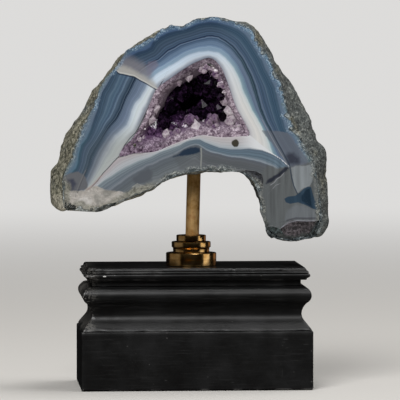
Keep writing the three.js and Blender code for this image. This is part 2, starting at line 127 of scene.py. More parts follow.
LOWER_PALE = [
    (-70, 129.5), (-64.5, 134.5), (-60, 138), (-55.5, 141.5), (-51.5, 144.5), (-46.5, 148),
    (-42.5, 150.5), (-37.5, 153), (-35, 155), (-30.5, 156), (-26, 158.5), (-21, 160.5), (-16, 162.5),
    (-12, 165), (-8.5, 167), (-5, 168.5), (-1.5, 169.5), (1, 169), (6, 165.7), (9.5, 164.2),
    (15.5, 163), (19, 161.8), (24, 160.8), (29.5, 160.5), (34, 159.5), (43, 157.5), (47.5, 156),
    (51.5, 154.5), (55.5, 151.5), (61, 147),
]
CRACK = [
    (-64.5, 226.5), (-56, 221), (-53.5, 218.5), (-50.5, 218), (-46.5, 217), (-43.5, 216.5),
    (-39.5, 214), (-35.5, 212), (-31.5, 209.5), (-27, 207), (-24.5, 206), (-17.5, 204.5),
]


def smooth_loop(points, step):
    """A closed run of points in mm, a step apart, on a centripetal curve through the given ones."""
    corners = np.array(points, float)
    before, after = np.roll(corners, 1, 0), np.roll(corners, -1, 0)
    beyond = np.roll(corners, -2, 0)
    dense = []
    for p0, p1, p2, p3 in zip(before, corners, after, beyond):
        t1 = np.linalg.norm(p1 - p0) ** 0.5
        t2 = t1 + np.linalg.norm(p2 - p1) ** 0.5
        t3 = t2 + np.linalg.norm(p3 - p2) ** 0.5
        for t in np.linspace(t1, t2, 24, endpoint=False):
            a1 = p0 * (t1 - t) / t1 + p1 * t / t1
            a2 = p1 * (t2 - t) / (t2 - t1) + p2 * (t - t1) / (t2 - t1)
            a3 = p2 * (t3 - t) / (t3 - t2) + p3 * (t - t2) / (t3 - t2)
            b1 = a1 * (t2 - t) / t2 + a2 * t / t2
            b2 = a2 * (t3 - t) / (t3 - t1) + a3 * (t - t1) / (t3 - t1)
            dense.append(b1 * (t2 - t) / (t2 - t1) + b2 * (t - t1) / (t2 - t1))
    dense = np.array(dense + dense[:1])
    travelled = np.concatenate([[0], np.cumsum(np.linalg.norm(np.diff(dense, axis=0), axis=1))])
    count = max(8, round(travelled[-1] / step))
    places = np.linspace(0, travelled[-1], count, endpoint=False)
    return np.column_stack([np.interp(places, travelled, dense[:, k]) for k in range(corners.shape[1])])


def nearest_on_line(places, line):
    """For each place: its distance to the line, and the side it lies on, 1 on the line's right."""
    line = np.array(line, float)
    starts, runs = line[:-1], np.diff(line, axis=0)
    offsets = places[:, None, :] - starts[None]
    share = np.clip((offsets * runs).sum(2) / (runs * runs).sum(1), 0, 1)
    apart = np.linalg.norm(offsets - share[..., None] * runs, axis=2)
    nearest = apart.argmin(1)
    rows = np.arange(len(places))
    run, offset = runs[nearest], offsets[rows, nearest]
    side = np.sign(run[:, 1] * offset[:, 0] - run[:, 0] * offset[:, 1])
    return apart[rows, nearest], np.where(side == 0, 1, side)


def distance_across(places, line):
    """Distance to an open line in mm, positive on its right."""
    apart, side = nearest_on_line(places, line)
    return apart * side


def depth_inside(places, outline):
    """Distance to a closed outline in mm, positive inside it."""
    corners = np.array(outline, float)
    apart, _ = nearest_on_line(places, np.vstack([corners, corners[:1]]))
    inside = np.zeros(len(places), bool)
    x, z = places[:, 0], places[:, 1]
    for (x1, z1), (x2, z2) in zip(corners, np.roll(corners, -1, 0)):
        if z1 != z2:
            inside ^= ((z1 > z) != (z2 > z)) & (x < (x2 - x1) * (z - z1) / (z2 - z1) + x1)
    return np.where(inside, apart, -apart)


def layer_share(distances, values):
    """How far a place lies through the agate's layers, from its distance inside each guide line."""
    share = np.full(len(distances[0]), float(values[0]))
    for outer, inner, low, high in zip(distances, distances[1:], values, values[1:]):
        passed = np.maximum(outer, 0)
        left = np.maximum(-inner, 0)
        share += (high - low) * passed / np.maximum(passed + left, 1e-6)
    return share


def closed_loops(edges):
    """The points of each closed run of edges, in order."""
    left = dict.fromkeys(edges)
    while left:
        edge = next(iter(left))
        del left[edge]
        start, v = edge.verts
        run = [start, v]
        while v is not start:
            edge = next(e for e in v.link_edges if e in left)
            del left[edge]
            v = edge.other_vert(v)
            run.append(v)
        yield run[:-1]


def lay_on_outline(verts, outline, chip):
    """Lays a loop of points along a smooth outline on the face, nicked inwards by up to chip mm."""
    places = smooth_loop(outline, 0.25)
    first = np.array([verts[0].co.x, verts[0].co.z]) / MM
    places = np.roll(places, -np.linalg.norm(places - first, axis=1).argmin(), 0)
    second = np.array([verts[1].co.x, verts[1].co.z]) / MM
    if np.linalg.norm(places[-4] - second) < np.linalg.norm(places[4] - second):
        places = places[::-1]
    picked = places[np.linspace(0, len(places), len(verts), endpoint=False).astype(int)]
    centre = np.array([0.0, 188.0])
    for v, (x, z) in zip(verts, picked):
        nick = chip * max(0.0, 1.3 * noise.noise(Vector((x, 7, z)) * 0.14)
                          + 0.8 * noise.noise(Vector((x, 3, z)) * 0.4) + 0.22)
        if chip:
            nick *= 1 + 0.5 * smoothstep(x, 30, 45)
            nick -= 1.3 * smoothstep(z, 188, 200) * smoothstep(-x, -8, 6)
        inwards = (centre - (x, z)) / np.linalg.norm(centre - (x, z))
        v.co = Vector(((x + inwards[0] * nick) * MM, FACE_Y, (z + inwards[1] * nick) * MM))


def refined_face(bm, edges, longest):
    """Fills the flat face between loops of edges with even triangles."""
    bmesh.ops.triangle_fill(bm, use_beauty=True, edges=edges)
    rim = set(edges)
    for _ in range(12):
        long = [e for e in bm.edges if e.calc_length() > longest and e not in rim
                and e.link_faces[0].material_index == 0]
        if not long:
            break
        bmesh.ops.subdivide_edges(bm, edges=long, cuts=1)
        bmesh.ops.triangulate(bm, faces=[f for f in bm.faces if f.material_index == 0])
        inner = [e for e in bm.edges if e not in rim and e.link_faces[0].material_index == 0]
        bmesh.ops.beautify_fill(bm, faces=[f for f in bm.faces if f.material_index == 0], edges=inner)


def smoothstep(value, low, high):
    share = np.clip((value - low) / (high - low), 0, 1)
    return share * share * (3 - 2 * share)


# Patches of other stone on the face, and of painted shadow in the three named shadow patches, in the order
# that they lie over each other: outline, colour, softness of the edge in mm, strength, and how far its rough ones are
# broken back in mm.
def disc(x, z, radius):
    turns = [math.tau * k / 14 for k in range(14)]
    return [(x + radius * math.cos(turn), z + radius * math.sin(turn)) for turn in turns]


PATCHES = {
    "grey_shadow": ([(-44.5, 146.5), (-39.5, 150.5), (-34, 153.5), (-30.5, 150.5), (-31.5, 145),
                     (-37.5, 142.5), (-43, 142.5)], (84, 89, 96), 2.5, 0.9, 0),
    "lower_shadow": ([(-17, 163.5), (-5, 160), (8, 161), (20, 157.5), (34, 156.5), (38, 150), (10, 149),
                      (2, 152), (-12, 152)], (86, 90, 94), 2.5, 0.5, 0),
    "dark_blue": ([(-17, 161), (-12, 164), (-8, 166.5), (-4.5, 167.5), (-1, 168), (1.5, 167),
                   (2, 164.5), (-1, 163.5), (-5, 162.5), (-10, 161.5)], (38, 52, 70), 1.6, 1.0, 0),
    "leg": ([(44, 150), (49, 155), (56, 153), (62, 154), (70, 156), (80, 158), (95, 150), (95, 95),
             (40, 95), (44, 130)], (92, 96, 98), 2.0, 1.0, 0),
    "leg_light": ([(62, 124), (68, 128), (78, 126), (84, 122), (84, 118), (66, 118), (60, 117)],
                  (106, 111, 116), 3.0, 0.8, 0),
    "lobe": ([(44.5, 179), (50, 178.8), (57, 178.5), (62, 177.5), (65, 174.5), (68.5, 169.5),
              (71.5, 165), (76.5, 158.5), (75, 155), (69.5, 155), (64.5, 153.5), (62.5, 155),
              (59, 160), (54.5, 166), (49, 173)], (99, 104, 114), 1.0, 0.76, 0),
    "lobe_shadow": ([(60.5, 161.5), (63, 164), (66.5, 163.5), (70, 160), (71, 156.5), (66.5, 155.5),
                     (63, 156)], (58, 62, 74), 4.0, 1.0, 0),
    "pale_block": ([(64.5, 153.5), (69.5, 155), (75, 155), (79, 156), (80.5, 150.5), (79.5, 144),
                    (77, 140), (73, 139), (69, 135.5), (66.5, 141), (65.5, 147.5)],
                   (128, 134, 138), 1.0, 0.95, 0),
    "streak": ([(47.5, 142.5), (48.5, 145), (53, 148), (57.5, 151), (61, 154), (64, 153.5),
                (61, 150.5), (55.5, 146.5), (51, 143.5)], (40, 43, 54), 1.5, 0.95, 0),
    "wedge": ([(60, 132), (62.5, 133.5), (67.5, 134), (71, 136.5), (73.5, 139), (76.5, 140.5),
               (78.5, 140), (79.5, 136), (81, 131), (85, 124), (80, 125), (75, 127.5), (69.5, 129.5),
               (64, 128.5), (61, 129.5)], (46, 64, 80), 0.6, 1.0, 0),
    "wedge_core": ([(72, 134), (75, 138.5), (77.5, 139), (78, 134.5), (79, 129), (80, 125),
                    (75.5, 128), (72, 130.5)], (26, 42, 56), 1.6, 0.9, 0),
    "druse": ([(57, 111), (60.5, 114.5), (64.5, 117), (69, 117), (84, 117), (89, 113), (86, 100),
               (68, 96), (57, 96), (57, 105)], (62, 57, 60), 0.5, 1.0, 1.6),
    "green_foot": ([(47.5, 112.5), (51.5, 113), (55.5, 112), (57.5, 111), (60, 106.5), (58.5, 97),
                    (46, 98), (43, 109)], (44, 54, 54), 1.0, 0.95, 1.0),
    "mauve": ([(-96, 145.5), (-91, 148.5), (-87, 150.5), (-82, 151), (-79, 149.5), (-76.5, 146),
               (-75.5, 142), (-76, 138.5), (-81, 138.5), (-86.5, 137.5), (-92, 137), (-96, 138.5)],
              (98, 100, 105), 1.5, 1.0, 0),
    "mauve_core": ([(-93, 142.5), (-90.5, 145.5), (-85.5, 146), (-83.5, 142.5), (-85, 138.5),
                    (-92, 137), (-94.5, 138.5)], (66, 69, 82), 2.4, 1.0, 0),
    "quartz": ([(-97.5, 137), (-92, 137.5), (-83.5, 138), (-78, 138), (-74, 141), (-69, 141),
                (-63.5, 138.5), (-58, 138), (-52, 137), (-48, 134.5), (-54.5, 122), (-67, 116),
                (-87.5, 116), (-97.5, 118)], (172, 167, 161), 1.6, 0.95, 0.5),
    "beige": ([(-60, 225), (-52.5, 229.5), (-46.5, 229.5), (-41.5, 227.5), (-37.5, 225.5),
               (-33.5, 222), (-32, 216.5), (-30, 209), (-34, 207), (-41, 211), (-48, 214),
               (-56, 216.5)], (126, 124, 130), 7.0, 0.74, 0),
    "crack_white": ([(-60, 224), (-54, 224.5), (-47, 222.5), (-42, 219.5), (-36, 216), (-30, 212),
                     (-27, 208), (-30, 204), (-60, 214)], (172, 171, 166), 4.0, 0.8, 0),
    "blush": ([(-34, 226.5), (-28.5, 227), (-26.5, 224), (-30, 220), (-33.5, 216.5), (-34.5, 221)],
              (118, 112, 128), 2.5, 0.6, 0),
    "dark_chip": ([(28.5, 151.5), (34, 152), (40.5, 151), (44.5, 149), (45.5, 145), (45, 139.5),
                   (40.5, 137), (33, 141), (26, 147)], (46, 48, 53), 0.6, 1.0, 1.2),
    "pale_chip": ([(-45, 140.5), (-41.5, 143), (-39, 142), (-35, 140.5), (-32, 141), (-28.5, 142),
                   (-24, 139), (-37.5, 130), (-43.5, 130), (-45, 137)], (134, 137, 135), 0.8, 1.0, 0.9),
    "small_chip": ([(7.5, 153.5), (10.5, 155), (13.5, 153.5), (16, 150.5), (13, 147), (7.5, 147)],
                   (140, 143, 141), 0.8, 0.9, 0.7),
    "pebble": (disc(-16.2, 149, 1.5), (156, 159, 155), 0.7, 1.0, 0),
    "olive_spot": (disc(26.2, 170.4, 2.5), (64, 61, 53), 0.8, 1.0, 0),
    "white_dot": (disc(38.2, 242.7, 1.0), (150, 188, 218), 0.8, 1.0, 0),
    "edge_pebble": (disc(59.0, 197.3, 1.4), (96, 112, 116), 0.6, 0.9, 0),
}

# Thin veins and cracks on the face, and painted shade in the two named shade lines: line, colour, half width in mm,
# strength
VEINS = {
    "seam": (SEAM[2:], (66, 68, 70), 0.32, 0.85),
    "pink_seam": ([(-75.5, 139), (-72, 142), (-68.5, 146), (-66.5, 148)], (158, 136, 134), 0.6, 0.5),
    "hollow_foot": ([(-54, 161), (-50.5, 162.5), (-47, 163.5), (-43.5, 164.5), (-37, 165.4)],
                    (84, 70, 72), 0.45, 0.8),
    "white_vein": ([(2.5, 167), (2.7, 161.5), (2.4, 156), (2.5, 150)], (138, 141, 139), 0.5, 0.9),
    "leg_crack": ([(50.5, 141.5), (53, 143.2), (55, 145.8), (57.5, 147.2), (59.5, 149.5)],
                  (146, 148, 154), 0.28, 0.7),
    "leg_crack_low": ([(52, 139), (54, 141.3), (56.5, 142.3)], (140, 142, 148), 0.25, 0.6),
    "foot_line": ([(58.5, 112.5), (63, 115.5), (69, 117), (75, 116.6), (83.5, 116.8)],
                  (138, 140, 150), 0.4, 0.7),
    "foot_shade": ([(62, 117), (68, 118.6), (75, 118.4), (83.5, 118.6)], (52, 50, 62), 0.6, 0.55),
    "arch_line": ([(30, 151), (34, 148.5), (37.5, 146.5), (40.5, 143.5), (43, 138)],
                  (126, 128, 126), 0.5, 0.9),
    "lobe_line": ([(50, 180.5), (51, 178.5), (54.5, 172), (59, 164), (63.5, 155.5), (65, 147),
                   (66.5, 141), (69, 135.5)], (50, 60, 74), 0.42, 0.85),
    "lobe_pair": ([(44.5, 186.5), (48, 180), (51.5, 173.5), (55, 167.5), (59, 161), (62.5, 154.5)],
                  (132, 138, 146), 0.3, 0.7),
    "left_tail": ([(-77, 152), (-78, 150), (-81, 143.5), (-83.5, 137), (-84, 134)],
                  (118, 118, 118), 0.35, 0.5),
    "left_tail_dark": ([(-76.4, 151), (-77.4, 149.5), (-80.2, 143), (-82.6, 136.6)], (70, 70, 76),
                       0.3, 0.5),
    "crack_edge": ([(-57, 222), (-54, 219.2), (-51, 218.7), (-46.8, 217.7), (-43.8, 217.2),
                    (-39.8, 214.7), (-35.8, 212.7), (-31.8, 210.2), (-27.3, 207.7), (-23, 206)],
                   (190, 190, 187), 0.42, 0.85),
    "crack_shade": ([(-57, 220.6), (-53.7, 217.9), (-50.5, 217.4), (-46.3, 216.4), (-43.3, 215.9),
                     (-39.3, 213.4), (-35.3, 211.4), (-31.3, 208.9), (-27, 206.4)], (30, 36, 52), 0.4,
                    0.8),
}

bm = bmesh.new()
bm.from_mesh(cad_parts["geode"].data)
CARRIED = ["upper", "left", "lower", "crack", "lower_top", "edge", "hollow", "behind"]
for name in [*CARRIED, *PATCHES, *VEINS]:
    bm.verts.layers.float.new(name)
bmesh.ops.remove_doubles(bm, verts=bm.verts, dist=0.01 * MM)
sawn = [f for f in bm.faces if all(v.co.y < FACE_Y + 0.01 * MM for v in f.verts)]
bmesh.ops.delete(bm, geom=sawn, context="FACES")
bmesh.ops.join_triangles(bm, faces=bm.faces, angle_face_threshold=0.6, angle_shape_threshold=1.2)
bmesh.ops.subdivide_edges(bm, edges=bm.edges, cuts=3, use_grid_fill=True)
for _ in range(2):
    bmesh.ops.smooth_vert(bm, verts=[v for v in bm.verts if not v.is_boundary], factor=0.5,
                          use_axis_x=True, use_axis_y=True, use_axis_z=True)
for face in bm.faces:
    face.material_index = 1
rim_edges = [e for e in bm.edges if e.is_boundary]
for loop in closed_loops(rim_edges):
    lowest = min(v.co.z for v in loop)
    if lowest > 150 * MM:
        lay_on_outline(loop, HOLLOW_EDGE, 0)
    else:
        lay_on_outline(loop, FACE_EDGE, RAGGED)
        laid_edge = [(v.co.x / MM, v.co.z / MM) for v in loop]
refined_face(bm, rim_edges, MESH_STEP * MM)

# The layers and patches are carried on the face's points as distances
face_verts = [v for v in bm.verts if v.co.y < FACE_Y + 0.01 * MM]
places = np.array([(v.co.x, v.co.z) for v in face_verts]) / MM
edge_depth = depth_inside(places, smooth_loop(FACE_EDGE, 2.0))
hollow_depth = depth_inside(places, smooth_loop(HOLLOW_EDGE, 1.5))
across = {name: distance_across(places, line) for name, line in {
    "upper_slate": UPPER_SLATE, "upper_black": UPPER_BLACK, "upper_white": UPPER_WHITE,
    "left_slate": LEFT_SLATE, "left_black": LEFT_BLACK, "left_white": LEFT_WHITE, "seam": SEAM,
    "lower_top": LOWER_TOP, "lower_white": LOWER_WHITE, "lower_pale": LOWER_PALE, "crack": CRACK,
}.items()}
to_hollow = np.maximum(hollow_depth, across["seam"])
fields = {
    "upper": layer_share([edge_depth, across["upper_slate"], across["upper_black"], across["upper_white"],
                          hollow_depth], [0, 0.2, 0.55, 0.82, 1]),
    "left": layer_share([edge_depth, across["left_slate"], across["left_black"], across["left_white"],
                         to_hollow], [0, 0.2, 0.55, 0.82, 1]),
    "lower": layer_share([across["lower_top"], across["lower_white"], across["lower_pale"],
                          across["lower_pale"] - 12], [0, 0.4, 0.65, 1]),
    "crack": across["crack"],
    "lower_top": across["lower_top"],
    "edge": depth_inside(places, laid_edge),
    "hollow": -hollow_depth,
}
fields.update({name: depth_inside(places, patch[0]) for name, patch in PATCHES.items()})
fields.update({name: distance_across(places, vein[0]) for name, vein in VEINS.items()})
broken = sum(np.clip(fields[name] * 0.5, 0, patch[4]) for name, patch in PATCHES.items() if patch[4])
for name, values in fields.items():
    layer = bm.verts.layers.float[name]
    for v, value in zip(face_verts, values):
        v[layer] = value
for v, deep, depth in zip(face_verts, broken, edge_depth):
    rough = noise.fractal(v.co / (2.2 * MM), 1.0, 2.0, 3)
    v.co.y += deep * (0.7 + 0.5 * rough) * MM * min(1.0, depth / 1.5)

# The rind is knobbly and pitted, all the way from just behind the face
SWELLINGS = [
    (-88, 177, 9, 0.9), (-93, 168, 8, 1.1), (-97, 157, 8, -1.1), (-101, 144, 9, 2.2), (-101, 133, 8, 2.0),
    (-96, 126, 9, 2.2), (-82, 121, 8, -4.2), (-66, 123, 7, 1.0), (-54, 129, 6, 2.0), (-43, 133, 6, 2.0),
    (-32, 138, 8, 1.4), (-14, 146, 8, -0.6), (5, 151, 6, 0.9), (18, 151, 5, 0.9), (24, 150, 5, -2.2), (33, 148, 7, -1.8),
    (-77, 196, 9, -1.0), (-66, 211, 9, 0.9), (-57, 224, 9, 0.8), (-47, 235, 9, 0.6), (-37, 241, 8, 0.6), (-30, 245, 6, 1.0),
    (-22, 249, 8, 0.5), (-9, 254, 7, -2.0), (18, 257, 6, 0.3), (26, 256, 5, -0.8), (34, 253, 7, 1.0), (40, 249, 7, 1.6),
    (46, 244, 7, -0.4), (50, 236, 7, 1.6), (53, 230, 7, 0.9), (58, 221, 9, 1.3), (69, 206, 10, 1.4), (79, 186, 9, 1.7),
    (84, 176, 7, -0.9), (85, 167, 9, 2.4), (87, 158, 9, 2.6), (91, 146, 7, -0.6), (91, 136, 8, 3.2),
    (91, 123, 9, 3.9), (89, 111, 8, 4.6), (83, 105, 8, 0.6),
]
bm.normal_update()
behind = bm.verts.layers.float["behind"]
rind_verts = [v for v in bm.verts if all(f.material_index == 1 for f in v.link_faces)]
for v in rind_verts:
    depth = (v.co.y - FACE_Y) / MM
    v[behind] = depth
    share = min(1.0, depth / 5)
    knobs = noise.fractal(v.co / (7 * MM), 0.9, 2.1, 5)
    pits = noise.voronoi(v.co / (4.5 * MM))[0][0]
    v.co += v.normal * share * (0.75 * knobs - 0.55 * max(0.0, 0.32 - pits) * 3 - 0.15) * MM
    sideways = Vector((v.normal.x, 0, v.normal.z))
    swell = sum(amount * max(0.0, 1 - ((v.co.x / MM - x) ** 2 + (v.co.z / MM - z) ** 2) / (reach * reach) / 2)
                for x, z, reach, amount in SWELLINGS)
    if v.co.x > 0:
        near = min(1.0, depth / 2.5) * (1 - 0.7 * smoothstep(depth, 14, 40))
    else:
        near = min(1.0, depth / 6) * (1 - smoothstep(depth, 45, 62))
    v.co += sideways * swell * near * MM
    v.co.x = min(max(v.co.x, -100.2 * MM), 91.2 * MM)
    v.co.z = min(v.co.z, 257.12 * MM)
mesh = bpy.data.meshes.new("geode_stone")
bm.to_mesh(mesh)
bm.free()
mesh.shade_smooth()
stone = bpy.data.objects.new("geode_stone", mesh)
bpy.context.scene.collection.objects.link(stone)


def linear(red, green, blue):
    """A colour as a paint chart gives it, from 0 to 255, as the linear values that a shader takes."""
    shares = [v / 255 for v in (red, green, blue)]
    return [v / 12.92 if v < 0.04045 else ((v + 0.055) / 1.055) ** 2.4 for v in shares] + [1.0]


def new_material(name, **sockets):
    """A material with a Principled shader set to constant values, and its node tree."""
    material = bpy.data.materials.new(name)
    material.use_nodes = True
    shader = material.node_tree.nodes["Principled BSDF"]
    for socket, value in sockets.items():
        shader.inputs[socket.replace("_", " ")].default_value = value
    return material, material.node_tree, shader


def put(tree, kind, inputs=None, **settings):
    """A node of a kind, with its settings, and each input set to a value or joined to a socket."""
    made = tree.nodes.new("ShaderNode" + kind)
    for name, value in settings.items():
        setattr(made, name, value)
    for name, value in (inputs or {}).items():
        if isinstance(value, bpy.types.NodeSocket):
            tree.links.new(value, made.inputs[name])
        else:
            made.inputs[name].default_value = value
    return made


def carried(tree, name):
    """A value carried on the mesh's points."""
    return put(tree, "Attribute", attribute_name=name).outputs["Fac"]


def mask(tree, value, low, high, strength=1.0):
    """0 below low and strength above high, eased between them."""
    return put(tree, "MapRange", {"Value": value, "From Min": low, "From Max": high, "To Max": strength},
               interpolation_type="SMOOTHSTEP").outputs["Result"]


def math_of(tree, operation, first, second=0.0):
    return put(tree, "Math", {0: first, 1: second}, operation=operation).outputs[0]


def laid_over(tree, share, below, above, way="MIX"):
    """One colour laid over another by a share."""
    mix = put(tree, "Mix", {"Factor": share, 6: below, 7: above}, data_type="RGBA", blend_type=way)
    return mix.outputs[2]


def ramp(tree, value, stops):
    """Colours along a value, from stops of a place and a chart colour."""
    made = put(tree, "ValToRGB", {"Fac": value})
    elements = made.color_ramp.elements
    while len(elements) < len(stops):
        elements.new(0.5)
    for element, (place, colour) in zip(elements, sorted(stops)):
        element.position = place
        element.color = linear(*colour)
    return made.outputs["Color"]


def grain_group():
    """Broken mineral grains: a tone that differs from grain to grain, and their relief."""
    group = bpy.data.node_groups.new("mineral_grain", "ShaderNodeTree")
    group.interface.new_socket("Vector", in_out="INPUT", socket_type="NodeSocketVector")
    group.interface.new_socket("Grain", in_out="INPUT", socket_type="NodeSocketFloat").default_value = 900
    group.interface.new_socket("Tone", in_out="OUTPUT", socket_type="NodeSocketFloat")
    group.interface.new_socket("Relief", in_out="OUTPUT", socket_type="NodeSocketFloat")
    start = group.nodes.new("NodeGroupInput")
    end = group.nodes.new("NodeGroupOutput")
    vector, grain = start.outputs["Vector"], start.outputs["Grain"]
    wobble = put(group, "TexNoise", {"Vector": vector, "Scale": grain, "Detail": 2.0})
    nudged = put(group, "VectorMath", {0: wobble.outputs["Color"], 1: (0.0004, 0.0004, 0.0004)},
                 operation="MULTIPLY")
    moved = put(group, "VectorMath", {0: vector, 1: nudged.outputs[0]}, operation="ADD").outputs[0]
    large = put(group, "TexVoronoi", {"Vector": moved, "Scale": grain})
    fine = put(group, "TexVoronoi", {"Vector": moved, "Scale": math_of(group, "MULTIPLY", grain, 2.3)})
    split = put(group, "SeparateColor", {"Color": large.outputs["Color"]}).outputs[0]
    split_fine = put(group, "SeparateColor", {"Color": fine.outputs["Color"]}).outputs[1]
    tone = math_of(group, "ADD", math_of(group, "MULTIPLY", split, 0.6),
                   math_of(group, "MULTIPLY", split_fine, 0.4))
    group.links.new(tone, end.inputs["Tone"])
    relief = math_of(group, "ADD", large.outputs["Distance"],
                     math_of(group, "MULTIPLY", fine.outputs["Distance"], 0.6))
    group.links.new(relief, end.inputs["Relief"])
    return group


mineral_grain = grain_group()


def grains(tree, vector, grain):
    made = put(tree, "Group", node_tree=mineral_grain)
    tree.links.new(vector, made.inputs["Vector"])
    made.inputs["Grain"].default_value = grain
    return made.outputs["Tone"], made.outputs["Relief"]


UPPER_LAYERS = [
    (0.0, (54, 64, 72)), (0.035, (75, 95, 110)), (0.107, (74, 98, 129)), (0.165, (60, 81, 110)),
    (0.215, (41, 60, 82)), (0.261, (48, 67, 87)), (0.302, (54, 73, 92)), (0.328, (64, 82, 101)),
    (0.355, (52, 70, 89)), (0.382, (67, 84, 105)), (0.42, (57, 75, 95)), (0.475, (71, 90, 113)),
    (0.515, (60, 79, 102)), (0.536, (34, 50, 74)), (0.548, (34, 50, 74)), (0.562, (110, 128, 154)),
    (0.58, (66, 87, 112)), (0.6175, (79, 100, 127)), (0.672, (104, 127, 153)), (0.709, (95, 118, 147)),
    (0.742, (142, 167, 192)), (0.77, (127, 153, 176)), (0.80, (140, 161, 183)), (0.838, (192, 209, 226)),
    (0.88, (198, 214, 229)), (0.93, (188, 199, 212)), (0.965, (142, 151, 166)), (1.0, (126, 132, 148)),
]
RIGHT_LAYERS = [
    (0.0, (60, 80, 84)), (0.03, (72, 92, 100)), (0.065, (100, 120, 138)), (0.1, (92, 111, 131)),
    (0.13, (88, 105, 127)), (0.17, (70, 90, 110)), (0.206, (62, 84, 104)), (0.23, (50, 72, 92)),
    (0.273, (54, 76, 97)), (0.327, (57, 80, 100)), (0.348, (79, 99, 119)), (0.372, (59, 79, 100)),
    (0.405, (68, 87, 110)), (0.446, (50, 69, 91)), (0.475, (72, 90, 112)), (0.5, (87, 103, 127)),
    (0.523, (70, 87, 105)), (0.545, (36, 54, 69)), (0.565, (58, 77, 90)), (0.59, (50, 69, 82)),
    (0.625, (90, 106, 127)), (0.665, (92, 107, 130)), (0.693, (84, 99, 124)), (0.748, (110, 137, 153)),
    (0.787, (122, 145, 158)), (0.812, (168, 188, 194)), (0.84, (200, 205, 206)), (0.9, (207, 206, 204)),
    (0.955, (200, 201, 202)), (0.985, (178, 176, 182)), (1.0, (140, 137, 144)),
]
LEFT_LAYERS = [
    (0.0, (98, 112, 112)), (0.05, (94, 108, 122)), (0.13, (92, 107, 125)), (0.175, (76, 92, 112)),
    (0.205, (46, 63, 82)), (0.238, (53, 71, 90)), (0.287, (61, 80, 99)), (0.322, (66, 85, 105)),
    (0.336, (86, 108, 128)), (0.355, (66, 87, 107)), (0.394, (74, 96, 117)), (0.427, (65, 84, 107)),
    (0.458, (84, 103, 123)), (0.492, (70, 88, 108)), (0.518, (42, 57, 73)), (0.532, (42, 57, 73)),
    (0.548, (72, 89, 107)), (0.56, (26, 38, 55)), (0.57, (28, 40, 57)), (0.585, (60, 76, 96)), (0.605, (86, 101, 121)),
    (0.65, (86, 101, 123)), (0.72, (101, 116, 139)), (0.785, (118, 134, 154)), (0.815, (160, 173, 190)),
    (0.845, (190, 202, 212)), (0.89, (200, 210, 215)), (0.93, (193, 201, 210)), (0.955, (150, 160, 172)),
    (0.975, (124, 128, 140)), (1.0, (122, 124, 134)),
]
LOW_LEFT_LAYERS = [
    (0.0, (86, 100, 98)), (0.03, (106, 124, 132)), (0.09, (92, 112, 130)), (0.16, (72, 98, 116)),
    (0.205, (50, 73, 88)), (0.26, (57, 74, 91)), (0.33, (71, 86, 104)), (0.37, (62, 77, 94)),
    (0.43, (76, 91, 107)), (0.5, (61, 75, 88)), (0.528, (56, 70, 84)), (0.548, (78, 92, 106)),
    (0.572, (50, 64, 77)), (0.62, (60, 74, 87)), (0.66, (70, 82, 96)), (0.71, (98, 108, 121)),
    (0.77, (106, 114, 124)), (0.81, (122, 130, 140)), (0.85, (144, 151, 157)), (0.92, (158, 165, 165)),
    (0.97, (164, 169, 169)), (1.0, (152, 158, 160)),
]
LOWER_LAYERS = [
    (0.0, (166, 158, 162)), (0.1, (164, 160, 164)), (0.25, (166, 170, 176)), (0.33, (162, 168, 175)),
    (0.375, (132, 144, 150)), (0.42, (112, 124, 132)), (0.5, (102, 112, 121)), (0.57, (97, 107, 117)),
    (0.625, (114, 122, 131)), (0.65, (100, 107, 115)), (0.67, (86, 93, 101)), (0.8, (88, 95, 101)),
    (1.0, (106, 112, 117)),
]
LOWER_RIGHT_LAYERS = [
    (0.0, (174, 168, 172)), (0.1, (178, 174, 177)), (0.22, (172, 172, 176)), (0.32, (164, 171, 178)),
    (0.372, (150, 160, 168)), (0.41, (88, 103, 117)), (0.47, (86, 103, 118)), (0.53, (90, 108, 122)),
    (0.56, (84, 101, 115)), (0.6, (104, 119, 131)), (0.635, (130, 140, 150)), (0.655, (88, 96, 106)),
    (0.68, (82, 87, 94)), (0.75, (86, 90, 95)), (0.82, (78, 83, 87)), (0.92, (100, 103, 109)),
    (1.0, (98, 102, 106)),
]

# The polished face
agate, tree, shader = new_material("agate_face", IOR=1.54, Specular_IOR_Level=0.32)
place = put(tree, "TexCoord").outputs["Object"]
across_xyz = put(tree, "SeparateXYZ", {"Vector": place})
x_place, z_place = across_xyz.outputs["X"], across_xyz.outputs["Z"]
drift = put(tree, "TexNoise", {"Vector": place, "Scale": 120.0, "Detail": 3.0}).outputs["Fac"]
drift = math_of(tree, "MULTIPLY", math_of(tree, "SUBTRACT", drift, 0.5), 0.024)
ripple = put(tree, "TexNoise", {"Vector": place, "Scale": 330.0, "Detail": 2.0}).outputs["Fac"]
drift = math_of(tree, "ADD", drift, math_of(tree, "MULTIPLY", math_of(tree, "SUBTRACT", ripple, 0.5), 0.016))


def layer_colours(name, ramps, split, low, high):
    """The colours of a block's layers, between two ramps by a place, with finer lines added."""
    share = math_of(tree, "ADD", carried(tree, name), drift)
    first, second = (ramp(tree, share, stops) for stops in ramps)
    colours = laid_over(tree, mask(tree, split, low, high), first, second)
    lines = put(tree, "TexNoise", {"W": share, "Scale": 30.0, "Detail": 2.0, "Roughness": 0.8},
                noise_dimensions="1D").outputs["Fac"]
    shade = put(tree, "MapRange", {"Value": lines, "From Min": 0.3, "From Max": 0.7, "To Min": 0.74,
                                   "To Max": 1.26}).outputs["Result"]
    calm = mask(tree, share, 0.7, 0.82, 0.75) if name != "lower" else 0.3
    shade = put(tree, "Mix", {0: calm, 2: shade, 3: 1.0}).outputs[0]
    return laid_over(tree, 1.0, colours, shade, "MULTIPLY")


